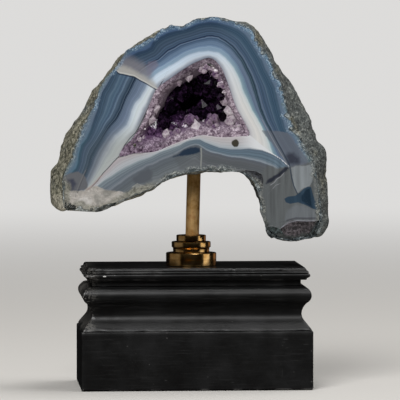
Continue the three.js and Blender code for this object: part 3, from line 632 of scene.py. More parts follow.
upper = layer_colours("upper", (UPPER_LAYERS, RIGHT_LAYERS), x_place, 0.008, 0.036)
left = layer_colours("left", (LOW_LEFT_LAYERS, LEFT_LAYERS), z_place, 0.166, 0.19)
lower = layer_colours("lower", (LOWER_LAYERS, LOWER_RIGHT_LAYERS), x_place, -0.02, 0.012)
corner_white = mask(tree, x_place, 0.026, 0.042)
lower = laid_over(tree, math_of(tree, "MULTIPLY", corner_white,
                                mask(tree, carried(tree, "lower"), 0.42, 0.3)),
                  lower, linear(212, 215, 219))
left_side = math_of(tree, "MULTIPLY", mask(tree, carried(tree, "crack"), -0.15, 0.15),
                    mask(tree, x_place, 0.0, -0.01))
colour = laid_over(tree, left_side, upper, left)
colour = laid_over(tree, mask(tree, carried(tree, "lower_top"), -0.3, 0.3), colour, lower)
colour = put(tree, "Gamma", {"Color": colour, "Gamma": 0.94}).outputs["Color"]
near_top = math_of(tree, "MULTIPLY", mask(tree, z_place, 0.222, 0.232), mask(tree, x_place, 0.022, 0.008))
colour = laid_over(tree, near_top, colour, laid_over(tree, 1.0, colour, linear(238, 239, 241), "MULTIPLY"))
tone, relief = grains(tree, place, 700.0)
cloud = put(tree, "TexNoise", {"Vector": place, "Scale": 260.0, "Detail": 5.0, "Roughness": 0.6})
wander = math_of(tree, "MULTIPLY", math_of(tree, "SUBTRACT", cloud.outputs["Fac"], 0.5), 2.4)
ABOVE_CRACK = ("beige", "crack_white", "blush")
MILKY = ("quartz", "pale_chip", "small_chip")
rough_areas = []
for name, (_, patch_colour, soft, strength, deep) in PATCHES.items():
    inside = math_of(tree, "ADD", carried(tree, name), wander if soft >= 0.8 else 0.0)
    share = mask(tree, inside, -soft * 0.5, soft * 0.5, strength)
    if name in ABOVE_CRACK:
        share = math_of(tree, "MULTIPLY", share, math_of(tree, "SUBTRACT", 1.0, left_side))
    own = linear(*patch_colour)
    if deep:
        low, high = (0.84, 1.14) if name in MILKY else (0.32, 2.3)
        dark = [v * low for v in own[:3]] + [1.0]
        light = [min(1.0, v * high) for v in own[:3]] + [1.0]
        speckled = put(tree, "ValToRGB", {"Fac": tone})
        speckled.color_ramp.elements[0].position = 0.2
        speckled.color_ramp.elements[0].color = dark
        speckled.color_ramp.elements[1].position = 0.85
        speckled.color_ramp.elements[1].color = light
        middle = speckled.color_ramp.elements.new(0.5)
        middle.color = own
        own = speckled.outputs["Color"]
        rough_areas.append(math_of(tree, "MULTIPLY", share, 1.0 if deep > 0.6 else 0.5))
    if name == "quartz":
        soft_clouds = put(tree, "TexNoise", {"Vector": place, "Scale": 95.0, "Detail": 3.0}).outputs["Fac"]
        own = laid_over(tree, mask(tree, soft_clouds, 0.5, 0.62, 0.6), own, linear(206, 203, 200))
        own = laid_over(tree, mask(tree, soft_clouds, 0.46, 0.36, 0.6), own, linear(118, 118, 112))
    colour = laid_over(tree, share, colour, own)
# Faint upright streaks across the leg are a painted reflection.
upright = put(tree, "Mapping", {"Vector": place, "Scale": (380, 380, 26)}).outputs["Vector"]
reflection_streaks = put(tree, "TexNoise", {"Vector": upright, "Scale": 1.0, "Detail": 3.0}).outputs["Fac"]
reflection_streaks = put(tree, "MapRange", {"Value": reflection_streaks, "From Min": 0.3, "From Max": 0.7, "To Min": 0.8,
                                 "To Max": 1.22}).outputs["Result"]
in_leg = math_of(tree, "MULTIPLY", mask(tree, z_place, 0.166, 0.15), mask(tree, x_place, 0.042, 0.05))
colour = laid_over(tree, in_leg, colour, laid_over(tree, 1.0, colour, reflection_streaks, "MULTIPLY"))
for name, (_, vein_colour, half, strength) in VEINS.items():
    apart = math_of(tree, "ABSOLUTE", carried(tree, name))
    share = mask(tree, apart, half * 1.5, half * 0.4, strength)
    colour = laid_over(tree, share, colour, linear(*vein_colour))

# Along its edge the agate is a thin frosted skin, with pale and dark specks
edge_depth = carried(tree, "edge")
skin = math_of(tree, "ADD", edge_depth, math_of(tree, "MULTIPLY", wander, 0.6))
low_edge = mask(tree, z_place, 0.2, 0.14)
frost, frost_relief = grains(tree, place, 1250.0)
patchy = put(tree, "TexNoise", {"Vector": place, "Scale": 75.0, "Detail": 2.0}).outputs["Fac"]
upper_right = math_of(tree, "MULTIPLY", mask(tree, x_place, 0.03, 0.045), mask(tree, z_place, 0.19, 0.205))
patchy = mask(tree, math_of(tree, "ADD", patchy, math_of(tree, "MULTIPLY", upper_right, 0.12)), 0.4, 0.6)
specks = ramp(tree, frost, [(0.15, (52, 74, 96)), (0.38, (84, 112, 140)), (0.62, (112, 142, 168)),
                           (0.86, (190, 206, 218))])
grey_specks = ramp(tree, frost, [(0.15, (44, 46, 44)), (0.4, (92, 96, 92)), (0.65, (126, 128, 122)),
                                (0.86, (176, 178, 170))])
specks = laid_over(tree, low_edge, specks, grey_specks)
frosted = math_of(tree, "MULTIPLY", mask(tree, skin, 3.4, 1.0, 0.85),
                  math_of(tree, "ADD", 0.25, math_of(tree, "MULTIPLY", patchy, 0.75)))
colour = laid_over(tree, frosted, colour, specks)
foot = math_of(tree, "MULTIPLY", mask(tree, z_place, 0.119, 0.113), mask(tree, skin, 4.0, 1.5, 0.85))
foot = math_of(tree, "MULTIPLY", foot, mask(tree, x_place, 0.0, 0.03))
colour = laid_over(tree, foot, colour, linear(40, 45, 45))
toe_rim = math_of(tree, "MULTIPLY", mask(tree, x_place, -0.024, -0.034), mask(tree, z_place, 0.148, 0.14))
toe_rim = math_of(tree, "MULTIPLY", toe_rim, mask(tree, skin, 5.5, 3.0, 0.8))
colour = laid_over(tree, toe_rim, colour, laid_over(tree, tone, linear(86, 86, 76), linear(158, 156, 144)))
# A thin dark line along the very edge of the face is painted shade in the crevice against the rind.
rim_crevice_shade = mask(tree, skin, 0.55, 0.05, 0.8)
colour = laid_over(tree, rim_crevice_shade, colour, linear(40, 46, 42))
rough = rough_areas[0]
for area in rough_areas[1:]:
    rough = math_of(tree, "MAXIMUM", rough, area)
rough = math_of(tree, "MAXIMUM", rough, mask(tree, skin, 1.6, 0.3, 0.8))
tree.links.new(colour, shader.inputs["Base Color"])
tree.links.new(put(tree, "MapRange", {"Value": rough, "To Min": 0.2, "To Max": 0.75}).outputs["Result"],
               shader.inputs["Roughness"])
bump = put(tree, "Bump", {"Strength": 0.8, "Distance": 0.4 * MM,
                          "Height": math_of(tree, "MULTIPLY", relief, rough)})
tree.links.new(bump.outputs["Normal"], shader.inputs["Normal"])

# The rind: grey-green weathered rock, pitted and speckled, with a thin blue skin just behind the face
rind, tree, shader = new_material("agate_rind", IOR=1.5, Specular_IOR_Level=0.3)
place = put(tree, "TexCoord").outputs["Object"]
tone, relief = grains(tree, place, 560.0)
broad = put(tree, "TexNoise", {"Vector": place, "Scale": 60.0, "Detail": 4.0}).outputs["Fac"]
fine = put(tree, "TexNoise", {"Vector": place, "Scale": 700.0, "Detail": 5.0, "Roughness": 0.7})
weathered = math_of(tree, "ADD", math_of(tree, "MULTIPLY", tone, 0.55),
                    math_of(tree, "MULTIPLY", fine.outputs["Fac"], 0.6))
grey = ramp(tree, weathered, [(0.2, (34, 37, 37)), (0.4, (60, 64, 64)), (0.55, (82, 86, 85)),
                              (0.7, (102, 106, 103)), (0.92, (146, 148, 144))])
green = ramp(tree, weathered, [(0.2, (33, 34, 27)), (0.42, (72, 72, 59)), (0.6, (108, 106, 92)),
                               (0.85, (158, 154, 138))])
olive = math_of(tree, "ADD", broad, math_of(
    tree, "MULTIPLY", put(tree, "SeparateXYZ", {"Vector": place}).outputs["X"], -1.6))
colour = laid_over(tree, mask(tree, olive, 0.4, 0.62), grey, green)
lumps = put(tree, "TexNoise", {"Vector": place, "Scale": 240.0, "Detail": 3.0}).outputs["Fac"]
lumps = put(tree, "MapRange", {"Value": lumps, "From Min": 0.35, "From Max": 0.65, "To Min": 0.82,
                               "To Max": 1.42}).outputs["Result"]
colour = laid_over(tree, 1.0, colour, lumps, "MULTIPLY")
pits = put(tree, "TexVoronoi", {"Vector": place, "Scale": 230.0}).outputs["Distance"]
colour = laid_over(tree, mask(tree, pits, 0.26, 0.08, 0.7), colour, linear(30, 31, 27))
where = put(tree, "SeparateXYZ", {"Vector": place})
low_down = math_of(tree, "MULTIPLY", mask(tree, where.outputs["Z"], 0.15, 0.115, 0.4),
                   mask(tree, where.outputs["X"], 0.0, 0.03))
colour = laid_over(tree, low_down, colour, linear(52, 55, 53))
dark_foot = math_of(tree, "MULTIPLY", mask(tree, where.outputs["Z"], 0.121, 0.114),
                    mask(tree, where.outputs["X"], 0.062, 0.05, 0.8))
dark_foot = math_of(tree, "MULTIPLY", dark_foot, mask(tree, where.outputs["X"], 0.034, 0.04))
colour = laid_over(tree, dark_foot, colour, linear(30, 34, 34))
pale_toe = math_of(tree, "MULTIPLY", mask(tree, where.outputs["Z"], 0.138, 0.128),
                   mask(tree, where.outputs["X"], -0.02, -0.035))
pale_toe = math_of(tree, "MULTIPLY", pale_toe, mask(tree, carried(tree, "behind"), 14.0, 6.0, 0.75))
colour = laid_over(tree, pale_toe, colour, laid_over(tree, tone, linear(96, 94, 82), linear(214, 208, 192)))
skin = math_of(tree, "ADD", carried(tree, "behind"), math_of(tree, "MULTIPLY", fine.outputs["Fac"], -3.0))
bright = ramp(tree, tone, [(0.2, (50, 62, 68)), (0.5, (86, 100, 108)), (0.85, (170, 180, 184))])
colour = laid_over(tree, mask(tree, skin, -0.6, -1.4, 0.7), colour, bright)
tree.links.new(colour, shader.inputs["Base Color"])
shader.inputs["Roughness"].default_value = 0.78
height = math_of(tree, "ADD", math_of(tree, "MULTIPLY", relief, 0.6), fine.outputs["Fac"])
bump = put(tree, "Bump", {"Strength": 0.9, "Distance": 0.7 * MM, "Height": height})
tree.links.new(bump.outputs["Normal"], shader.inputs["Normal"])

stone.data.materials.append(agate)
stone.data.materials.append(rind)
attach(stone, "root")
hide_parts("geode")


# The amethyst: violet quartz crystals that line the hollow, grown together as one crust.
# The saw cut through them along the face, where they show as a flat granular rim. Behind it they
# point into the hollow with clean flat faces, pale near the face and dark violet further in. Deep in the
# hollow the bed and crystals are darkened towards near black as painted shade, over the quartz's own deeper violet.
WALL_PAIRS = [
    (8.8, 229.1, 7.2, 215.9), (15.4, 223.8, 11.5, 213), (20.7, 212, 13.5, 207.5), (23.3, 204.1, 14.3, 203.4),
    (27.2, 193.6, 16.8, 198.5), (32.6, 184.3, 18.9, 194.8), (35.9, 175.8, 19.7, 191.2),
    (29.9, 175.1, 16, 190.3), (16.7, 174.5, 9.5, 189.3), (3.5, 175.9, 3.5, 188.4), (-3.1, 174.6, -1.5, 187.3),
    (-16.2, 170, -6.5, 185.8), (-29.4, 164.7, -12.5, 184), (-42.5, 163.5, -18.5, 183.2),
    (-54, 161.1, -23.1, 184), (-51.3, 167.3, -24.2, 187), (-45.2, 173.4, -23, 191),
    (-38.2, 184.5, -21, 194.5), (-33, 197.4, -18.5, 199), (-27.9, 207.9, -16.2, 204.3),
    (-18.9, 214.7, -11.5, 208), (-9.6, 221.2, -6, 211), (-0.4, 226.4, 0.5, 214),
]
BED_STEPS = [(-0.03, 0.03), (0.08, 0.03), (0.16, 0.03), (0.24, 0.03), (0.3, 0.5), (0.4, 1.6), (0.52, 3.2),
             (0.64, 5.4), (0.76, 8.2), (0.87, 11.8), (0.95, 16), (1.0, 21)]
BED_END = [(0.85, 26), (0.6, 30), (0.3, 32.5)]
LARGE_CRYSTALS = [
    ((0.5, 167, 9.5), (-0.04, 1, -0.42), 8.4, 22, 0.0, 0.12), ((-8, 171, 14), (0.1, 1, -0.34), 6, 20, 0.52, 0.7),
    ((7, 172, 13), (-0.12, 1, -0.3), 4.2, 18, 0.0, 0.1), ((14, 171, 12), (0.3, 1, -0.35), 4.6, 15, 0.05, 0.3),
    ((-15, 168, 13), (-0.25, 1, -0.3), 5.2, 18, 0.25, 0.55), ((-35, 173, 11), (0.6, 1, -0.3), 6.0, 17, 0.62, 0.78),
    ((-28, 168, 10), (0.25, 1, -0.4), 5.2, 15, 0.5, 0.74), ((-41, 168.5, 8), (0.5, 0.8, -0.4), 3.6, 10, 0.0, 0.25),
    ((-34, 200, 8), (1, -0.1, -0.35), 5.2, 10, 0.4, 0.6), ((-34, 194, 7), (1, 0.1, -0.45), 5.4, 10, 0.05, 0.2),
    ((-37, 188, 7), (1, -0.2, -0.4), 5.2, 10, 0.08, 0.25), ((24, 199, 8), (-1, 0.15, -0.3), 4.6, 10, 0.1, 0.3),
    ((26, 192, 7), (-1, 0.1, -0.4), 4.6, 9, 0.05, 0.2), ((28, 185, 8), (-0.8, 0.4, -0.4), 4.2, 10, 0.1, 0.3),
    ((-6, 220.5, 8), (0.1, -1, -0.35), 4.0, 9, 0.05, 0.25), ((-15, 217, 8), (0.4, -1, -0.4), 4.0, 9, 0.1, 0.3),
    ((10, 219.5, 10), (-0.4, -1, -0.35), 3.2, 8, 0.4, 0.6), ((-22, 171, 8), (0.1, 1, -0.5), 3.6, 11, 0.05, 0.3),
]

bm = bmesh.new()
deep = bm.verts.layers.float.new("deep")
pairs = smooth_loop(WALL_PAIRS, 2.2)
void_middle = np.array([-1.0, 198.0])
rings = []
for inward, depth in BED_STEPS:
    rings.append((pairs[:, :2] * (1 - inward) + pairs[:, 2:] * inward, depth))
for size, depth in BED_END:
    rings.append((void_middle + (pairs[:, 2:] - void_middle) * size, depth))
loops = []
for points, depth in rings:
    ring = [bm.verts.new((x * MM, FACE_Y + depth * MM, z * MM)) for x, z in points]
    for v in ring:
        v[deep] = depth
    loops.append([bm.edges.new(pair) for pair in zip(ring, ring[1:] + ring[:1])])
for outer, inner in zip(loops, loops[1:]):
    bmesh.ops.bridge_loops(bm, edges=outer + inner)
bmesh.ops.holes_fill(bm, edges=loops[-1], sides=0)
for v in bm.verts:
    if v[deep] > 0.1:
        wave = noise.noise_vector(v.co / (3.5 * MM))
        v.co += Vector((wave.x, 0.6 * wave.y, wave.z)) * min(1.0, v[deep] / 2) * 0.9 * MM
bmesh.ops.recalc_face_normals(bm, faces=bm.faces)
front = next(f for f in bm.faces if all(v[deep] < 0.1 for v in f.verts))
if front.normal.y > 0:
    bmesh.ops.reverse_faces(bm, faces=bm.faces)
bm.normal_update()
seats = [(f.calc_center_median(), f.normal.copy(), f.calc_area()) for f in bm.faces
         if 0.3 < min(v[deep] for v in f.verts) < 24]
mesh = bpy.data.meshes.new("amethyst_bed")
bm.to_mesh(mesh)
bm.free()
mesh.shade_smooth()
bed = bpy.data.objects.new("amethyst_bed", mesh)
bpy.context.scene.collection.objects.link(bed)


def grow_crystal(bm, foot, along, radius, body, point, tones):
    """One six-sided crystal with a lopsided point, whole behind the face; tones at its foot and tip."""
    turn = along.to_track_quat("Z", "Y").to_matrix().to_4x4() @ Matrix.Rotation(dice.uniform(0, 1.05), 4, "Z")
    place = Matrix.Translation(foot + along * body / 2) @ turn
    made = bmesh.ops.create_cone(bm, cap_ends=True, segments=6, radius1=radius * 0.94, radius2=radius,
                                 depth=body, matrix=place)["verts"]
    tops = {f for v in made for f in v.link_faces if len(f.verts) == 6}
    end = max(tops, key=lambda f: f.calc_center_median().dot(along))
    tip = bmesh.ops.poke(bm, faces=[end], offset=point)["verts"][0]
    side = turn.to_3x3() @ Vector((dice.uniform(-0.22, 0.22), dice.uniform(-0.22, 0.22), 0))
    tip.co += side * radius
    tone = bm.verts.layers.float["tone"]
    for v in made:
        v[tone] = tones[0] if (v.co - foot).dot(along) < body / 2 else tones[0] * 0.6 + tones[1] * 0.4
    tip[tone] = tones[1]
    for f in {f for v in (*made, tip) for f in v.link_faces}:
        # The darkest crystals take the near-black material, painted shade deep in the hollow.
        f.material_index = int(tones[0] > 0.8)
    nearest = min(v.co.y for v in (*made, tip)) - FACE_Y - dice.uniform(0.15, 0.9) * MM
    if nearest < 0:
        bmesh.ops.translate(bm, vec=(0, -nearest, 0), verts=[*made, tip])


dice = random.Random(11)
bm = bmesh.new()
bm.verts.layers.float.new("tone")
# Crystals seen inside this triangle, the deep middle of the hollow, are given dark tones as painted shade.
SHADED_MIDDLE = (Vector((2, 223)), Vector((-31, 184)), Vector((25, 188)))
LARGE_AXES = []
for (x, z, depth), along, radius, length, *_ in LARGE_CRYSTALS:
    rise = length / math.hypot(*along)
    LARGE_AXES.append((Vector((x, z)), Vector((x + along[0] * rise, z + along[1] * rise)), radius, depth))
for centre, outwards, area in seats:
    depth = (centre.y - FACE_Y) / MM
    flat = Vector((centre.x, centre.z)) / MM
    if any((flat - intersect_point_line(flat, low, high)[0].to_2d()).length < 0.72 * radius
           and (flat - low).dot(high - low) > -0.3 * (high - low).length_squared
           and depth < behind_it for low, high, radius, behind_it in LARGE_AXES):
        continue
    apart = (1.55 + 0.08 * depth) * MM
    count = area / apart ** 2
    for _ in range(int(count) + (dice.random() < count % 1)):
        away = Vector((dice.gauss(0, 1), dice.gauss(0, 1), dice.gauss(0, 1)))
        foot = centre + away * 0.6 * MM - outwards * 1.2 * MM
        along = (outwards + away * 0.3 + Vector((0, -0.45, 0))).normalized()
        radius = dice.choice((0.75, 0.9, 1.2, 1.6, 2.1)) * (1 + min(depth, 12) / 12) * dice.uniform(0.85, 1.15) * MM
        # A crystal's tone darkens with its depth, as painted shade of the hollow over the quartz's own deeper violet.
        start = max(0.0, depth - 1.5) / (28 if flat.y > 182 else 19) + dice.uniform(0.0, 0.3)
        start += 0.1 * smoothstep(flat.y, 198, 214)
        start += 0.14 * smoothstep(-flat.x, 20, 32) * smoothstep(-flat.y, -180, -172)
        reach = Vector((along.x, along.z)) * 2.3 * radius / MM if flat.y > 192 else Vector((0, 0))
        if flat.y < 219:
            start += 0.8 * abs(intersect_point_tri_2d(flat + reach, *SHADED_MIDDLE))
        start = min(0.92, start)
        grow_crystal(bm, foot, along, radius, radius * dice.uniform(1.2, 2.2), radius * dice.uniform(0.8, 1.3),
                     (start, min(1.0, start + dice.uniform(0.0, 0.28))))
dice = random.Random(4)
for (x, z, depth), along, radius, length, foot_tone, tip_tone in LARGE_CRYSTALS:
    foot = Vector((x, depth, z)) * MM + Vector((0, FACE_Y, 0))
    heading = Vector((along[0], along[2], along[1])).normalized()
    grow_crystal(bm, foot, heading, radius * 0.86 * MM, length * 0.62 * MM, length * 0.38 * MM,
                 (foot_tone, tip_tone))
mesh = bpy.data.meshes.new("amethyst_crystals")
bm.to_mesh(mesh)
bm.free()
crystals = bpy.data.objects.new("amethyst_crystals", mesh)
bpy.context.scene.collection.objects.link(crystals)

cut_quartz, tree, shader = new_material("amethyst_cut", IOR=1.54, Specular_IOR_Level=0.12)
place = put(tree, "TexCoord").outputs["Object"]
tone, relief = grains(tree, place, 430.0)
small, small_relief = grains(tree, place, 900.0)
mixed = math_of(tree, "ADD", math_of(tree, "MULTIPLY", tone, 0.55), math_of(tree, "MULTIPLY", small, 0.5))
colour = ramp(tree, mixed, [(0.18, (62, 42, 62)), (0.34, (100, 84, 98)), (0.5, (132, 118, 130)),
                            (0.66, (158, 142, 156)), (0.84, (206, 194, 204))])
far = carried(tree, "deep")
high_up = mask(tree, put(tree, "SeparateXYZ", {"Vector": place}).outputs["Z"], 0.2, 0.22, 0.95)
colour = laid_over(tree, high_up, colour, laid_over(tree, 1.0, colour, linear(190, 190, 192), "MULTIPLY"))
place_parts = put(tree, "SeparateXYZ", {"Vector": place})
low_left = math_of(tree, "MULTIPLY", mask(tree, place_parts.outputs["X"], -0.015, -0.03),
                   mask(tree, place_parts.outputs["Z"], 0.186, 0.174))
colour = laid_over(tree, low_left, colour, laid_over(tree, 1.0, colour, linear(204, 196, 208), "MULTIPLY"))
# Further in, the bed turns deeper violet and then near black: its own deeper colour, and painted shade of the deep
# hollow.
deeper_and_shaded = laid_over(tree, mask(tree, place_parts.outputs["Z"], 0.178, 0.188), linear(84, 56, 92),
                   linear(104, 92, 104))
colour = laid_over(tree, mask(tree, far, 0.5, 6.0, 0.8), colour, deeper_and_shaded)
colour = laid_over(tree, mask(tree, far, 6.0, 15.0), colour, linear(5, 3, 8))
tree.links.new(colour, shader.inputs["Base Color"])
shader.inputs["Roughness"].default_value = 0.3
bump = put(tree, "Bump", {"Strength": 0.5, "Distance": 0.25 * MM, "Height": relief})
tree.links.new(bump.outputs["Normal"], shader.inputs["Normal"])
bed.data.materials.append(cut_quartz)

violet, tree, shader = new_material("amethyst_crystal", IOR=1.54, Transmission_Weight=0.35)
place = put(tree, "TexCoord").outputs["Object"]
cloudy = put(tree, "TexNoise", {"Vector": place, "Scale": 420.0, "Detail": 3.0}).outputs["Fac"]
tone = math_of(tree, "ADD", carried(tree, "tone"),
               math_of(tree, "MULTIPLY", math_of(tree, "SUBTRACT", cloudy, 0.5), 0.35))
dull = put(tree, "MapRange", {"Value": tone, "From Min": 0.2, "From Max": 0.8, "To Min": 0.16, "To Max": 0.07})
tree.links.new(dull.outputs["Result"], shader.inputs["Roughness"])
steps, relief = grains(tree, place, 480.0)
tone = math_of(tree, "ADD", tone, math_of(tree, "MULTIPLY", math_of(tree, "SUBTRACT", steps, 0.5), 0.34))
# The darkest tones, down to near black, are painted shade deep in the hollow.
colour = ramp(tree, tone, [(0.0, (242, 234, 240)), (0.15, (216, 202, 212)), (0.34, (170, 150, 168)),
                           (0.54, (116, 86, 124)), (0.74, (54, 32, 62)), (1.0, (8, 4, 12))])
tree.links.new(colour, shader.inputs["Base Color"])
bump = put(tree, "Bump", {"Strength": 0.3, "Distance": 0.2 * MM, "Height": relief})
tree.links.new(bump.outputs["Normal"], shader.inputs["Normal"])
inside = put(tree, "VolumeAbsorption", {"Color": (0.55, 0.35, 0.66, 1), "Density": 90.0})
tree.links.new(inside.outputs["Volume"], tree.nodes["Material Output"].inputs["Volume"])
crystals.data.materials.append(violet)

# Near-black violet for the darkest crystals deep in the hollow: painted shade over the quartz's own dark violet.
shaded_deep_violet, tree, shader = new_material("amethyst_deep_shaded", IOR=1.54, Roughness=0.12, Specular_IOR_Level=0.06)
place = put(tree, "TexCoord").outputs["Object"]
tone, relief = grains(tree, place, 480.0)
tree.links.new(ramp(tree, tone, [(0.3, (6, 3, 8)), (0.55, (16, 9, 20)), (0.85, (44, 26, 50))]),
               shader.inputs["Base Color"])
crystals.data.materials.append(shaded_deep_violet)
for piece in (bed, crystals):
    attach(piece, "root")
    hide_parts("amethyst_crust")


# The brass: a plain round bar that leans a little to the right, and three turned rings round its foot.
# Each was turned on a lathe from bar and polished, and has gone brown where a cloth doesn't reach.
STAND = Vector((-2.5, -13, 0))
ROD_LEAN = math.radians(1.5)


def turned(name, profile, node, lean=0.0):
    """A turned ring or bar from its half profile, given as (radius, height) in mm."""
    bm = bmesh.new()
    line = [bm.verts.new((r * MM, 0, z * MM)) for r, z in profile]
    edges = [bm.edges.new(pair) for pair in zip(line, line[1:] + line[:1])]
    bmesh.ops.spin(bm, geom=line + edges, cent=(0, 0, 0), axis=(0, 0, 1), angle=math.tau, steps=96,
                   use_merge=True)
    bmesh.ops.remove_doubles(bm, verts=bm.verts, dist=0.001 * MM)
    bmesh.ops.recalc_face_normals(bm, faces=bm.faces)
    if lean:
        foot = Matrix.Translation((0, 0, 76.3 * MM))
        bmesh.ops.transform(bm, matrix=foot @ Matrix.Rotation(lean, 4, "Y"), verts=bm.verts)
    bmesh.ops.translate(bm, vec=STAND * MM, verts=bm.verts)
    mesh = bpy.data.meshes.new(name)
    bm.to_mesh(mesh)
    bm.free()
    mesh.shade_smooth()
    mesh.set_sharp_from_angle(angle=math.radians(28))
    piece = bpy.data.objects.new(name, mesh)
    bpy.context.scene.collection.objects.link(piece)
    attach(piece, "root")
    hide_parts(node)
    return piece


def bore(low, high):
    """Where the leaning bar passes through a ring, as the radius of the ring's hole at each end."""
    return [(5.15 + (z - 76.3) * math.tan(ROD_LEAN), z) for z in (high, low)]


rod = turned("brass_rod", [(0.0, 0), (4.35, 0), (4.7, 0.35), (4.74, 2), (4.74, 30), (4.7, 34), (4.74, 38),
                           (4.74, 80), (4.7, 83.6), (4.3, 84), (0.0, 84)], "brass_rod", ROD_LEAN)
flange = turned("collar_flange", [
    (17.1, 84.65), (17.45, 85.0), (17.48, 85.5), (17.48, 88.9), (17.36, 89.0), (17.36, 89.15), (17.48, 89.25),
    (17.48, 92.9), (17.4, 93.3), (17.1, 93.65), (16.4, 93.75), (14.2, 93.6), (14.0, 93.5), (13.8, 93.6),
    *bore(84.65, 93.6)], "collar_flange")
middle = turned("collar_middle", [
    (12.4, 94.15), (12.6, 94.4), (12.62, 96.2), (12.75, 96.9), (13.05, 97.3), (13.5, 97.45), (13.58, 97.8),
    (13.58, 100.6), (13.5, 101.0), (13.2, 101.3), (12.6, 101.38), *bore(94.15, 101.38)], "collar_middle")
top_ring = turned("collar_top", [
    (9.9, 101.75), (10.24, 102.05), (10.28, 102.5), (10.28, 105.2), (10.2, 105.55), (9.95, 105.8),
    (9.2, 105.88), *bore(101.75, 105.88)], "collar_top")


def brass_material(name, along, across, smooth, dull, metal=1.0):
    """Aged brass, with fine tool marks across it or drawn lines along it, and brown tarnish."""
    brass, tree, shader = new_material(name, Metallic=metal, Specular_IOR_Level=0.5)
    place = put(tree, "TexCoord").outputs["Object"]
    drawn = put(tree, "Mapping", {"Vector": place, "Scale": (across, across, along)}).outputs["Vector"]
    marks = put(tree, "TexNoise", {"Vector": drawn, "Scale": 1.0, "Detail": 3.0, "Roughness": 0.7})
    cloud = put(tree, "TexNoise", {"Vector": place, "Scale": 130.0, "Detail": 5.0, "Roughness": 0.65})
    colour = ramp(tree, cloud.outputs["Fac"], [(0.3, (142, 98, 48)), (0.45, (186, 143, 84)),
                                               (0.6, (207, 169, 113)), (0.75, (174, 121, 66))])
    streak = put(tree, "MapRange", {"Value": marks.outputs["Fac"], "From Min": 0.3, "From Max": 0.7,
                                    "To Min": 0.8, "To Max": 1.12}).outputs["Result"]
    colour = laid_over(tree, 1.0, colour, streak, "MULTIPLY")
    tree.links.new(colour, shader.inputs["Base Color"])
    rough = put(tree, "MapRange", {"Value": cloud.outputs["Fac"], "From Min": 0.3, "From Max": 0.75,
                                   "To Min": smooth, "To Max": dull}).outputs["Result"]
    tree.links.new(rough, shader.inputs["Roughness"])
    bump = put(tree, "Bump", {"Strength": 0.25, "Distance": 0.05 * MM, "Height": marks.outputs["Fac"]})
    tree.links.new(bump.outputs["Normal"], shader.inputs["Normal"])
    return brass


drawn_brass = brass_material("drawn_brass", 60, 2600, 0.42, 0.56, 0.7)
turned_brass = brass_material("turned_brass", 4200, 60, 0.13, 0.24)
rod.data.materials.append(drawn_brass)
for ring in (flange, middle, top_ring):
    ring.data.materials.append(turned_brass)


# The plinth: a plain block, a mitred moulding and a cap board with a reeded lip, glued together.
# It is softwood painted black with a satin finish, worn at its arrises and chipped at its left end.
PLINTH_HALF = (80, 42.5)
BLOCK_PROFILE = [(0.7, 0), (0, 0.7), (0, 2.4), (0, 8), (0, 14), (0, 20), (0, 26), (0, 32), (0, 37.8), (0, 39.9),
                 (0.2, 40.4), (0.7, 40.6)]
TORUS_TURNS = [math.radians(-60 + 12.5 * k) for k in range(13)]
MOULDING_PROFILE = [
    (1.2, 40.9), (0.75, 41.0), (0.8, 41.4), (1.9, 42.9), (3.2, 44.6), (4.8, 46.6), (6.2, 48.4), (7.1, 50.2),
    (7.4, 52), (7.1, 54.4), (6.3, 56.6), (5.2, 58.4),
    *[(7 - 6.1 * math.cos(turn), 65.1 + 6.1 * math.sin(turn)) for turn in TORUS_TURNS], (9, 71.2),
]
CAP_PROFILE = [
    (8.3, 71.5), (7.9, 71.8), (7.9, 72.5), (7.9, 74.8), (7.9, 75.5), (7.6, 75.75), (4.6, 75.8), (4.1, 76.1), (3.8, 76.8), (3.0, 77.3),
    (2.2, 77.9), (1.9, 78.6), (1.9, 79.3), (2.1, 79.8), (2.7, 80.1), (3.3, 80.25), (2.8, 80.6), (2.6, 81.1),
    (2.75, 81.6), (3.3, 81.9), (4.3, 82.05), (3.9, 82.4), (3.95, 82.9), (4.4, 83.5), (4.9, 84.0), (5.5, 84.3),
]
# Knocks in the cap's lip: place along it in mm, half width, and how deep
LIP_KNOCKS = [(-66, 1.6, 0.8), (-62.5, 2.4, 0.5), (18, 2, 0.5), (24, 1.4, 0.9), (30, 2.6, 0.4), (37, 1.6, 0.7),
              (44.5, 1.4, 0.5), (58, 1.8, 0.6), (-30, 2.5, 0.3), (-78, 3.5, 1.4), (76, 1.8, 0.7)]


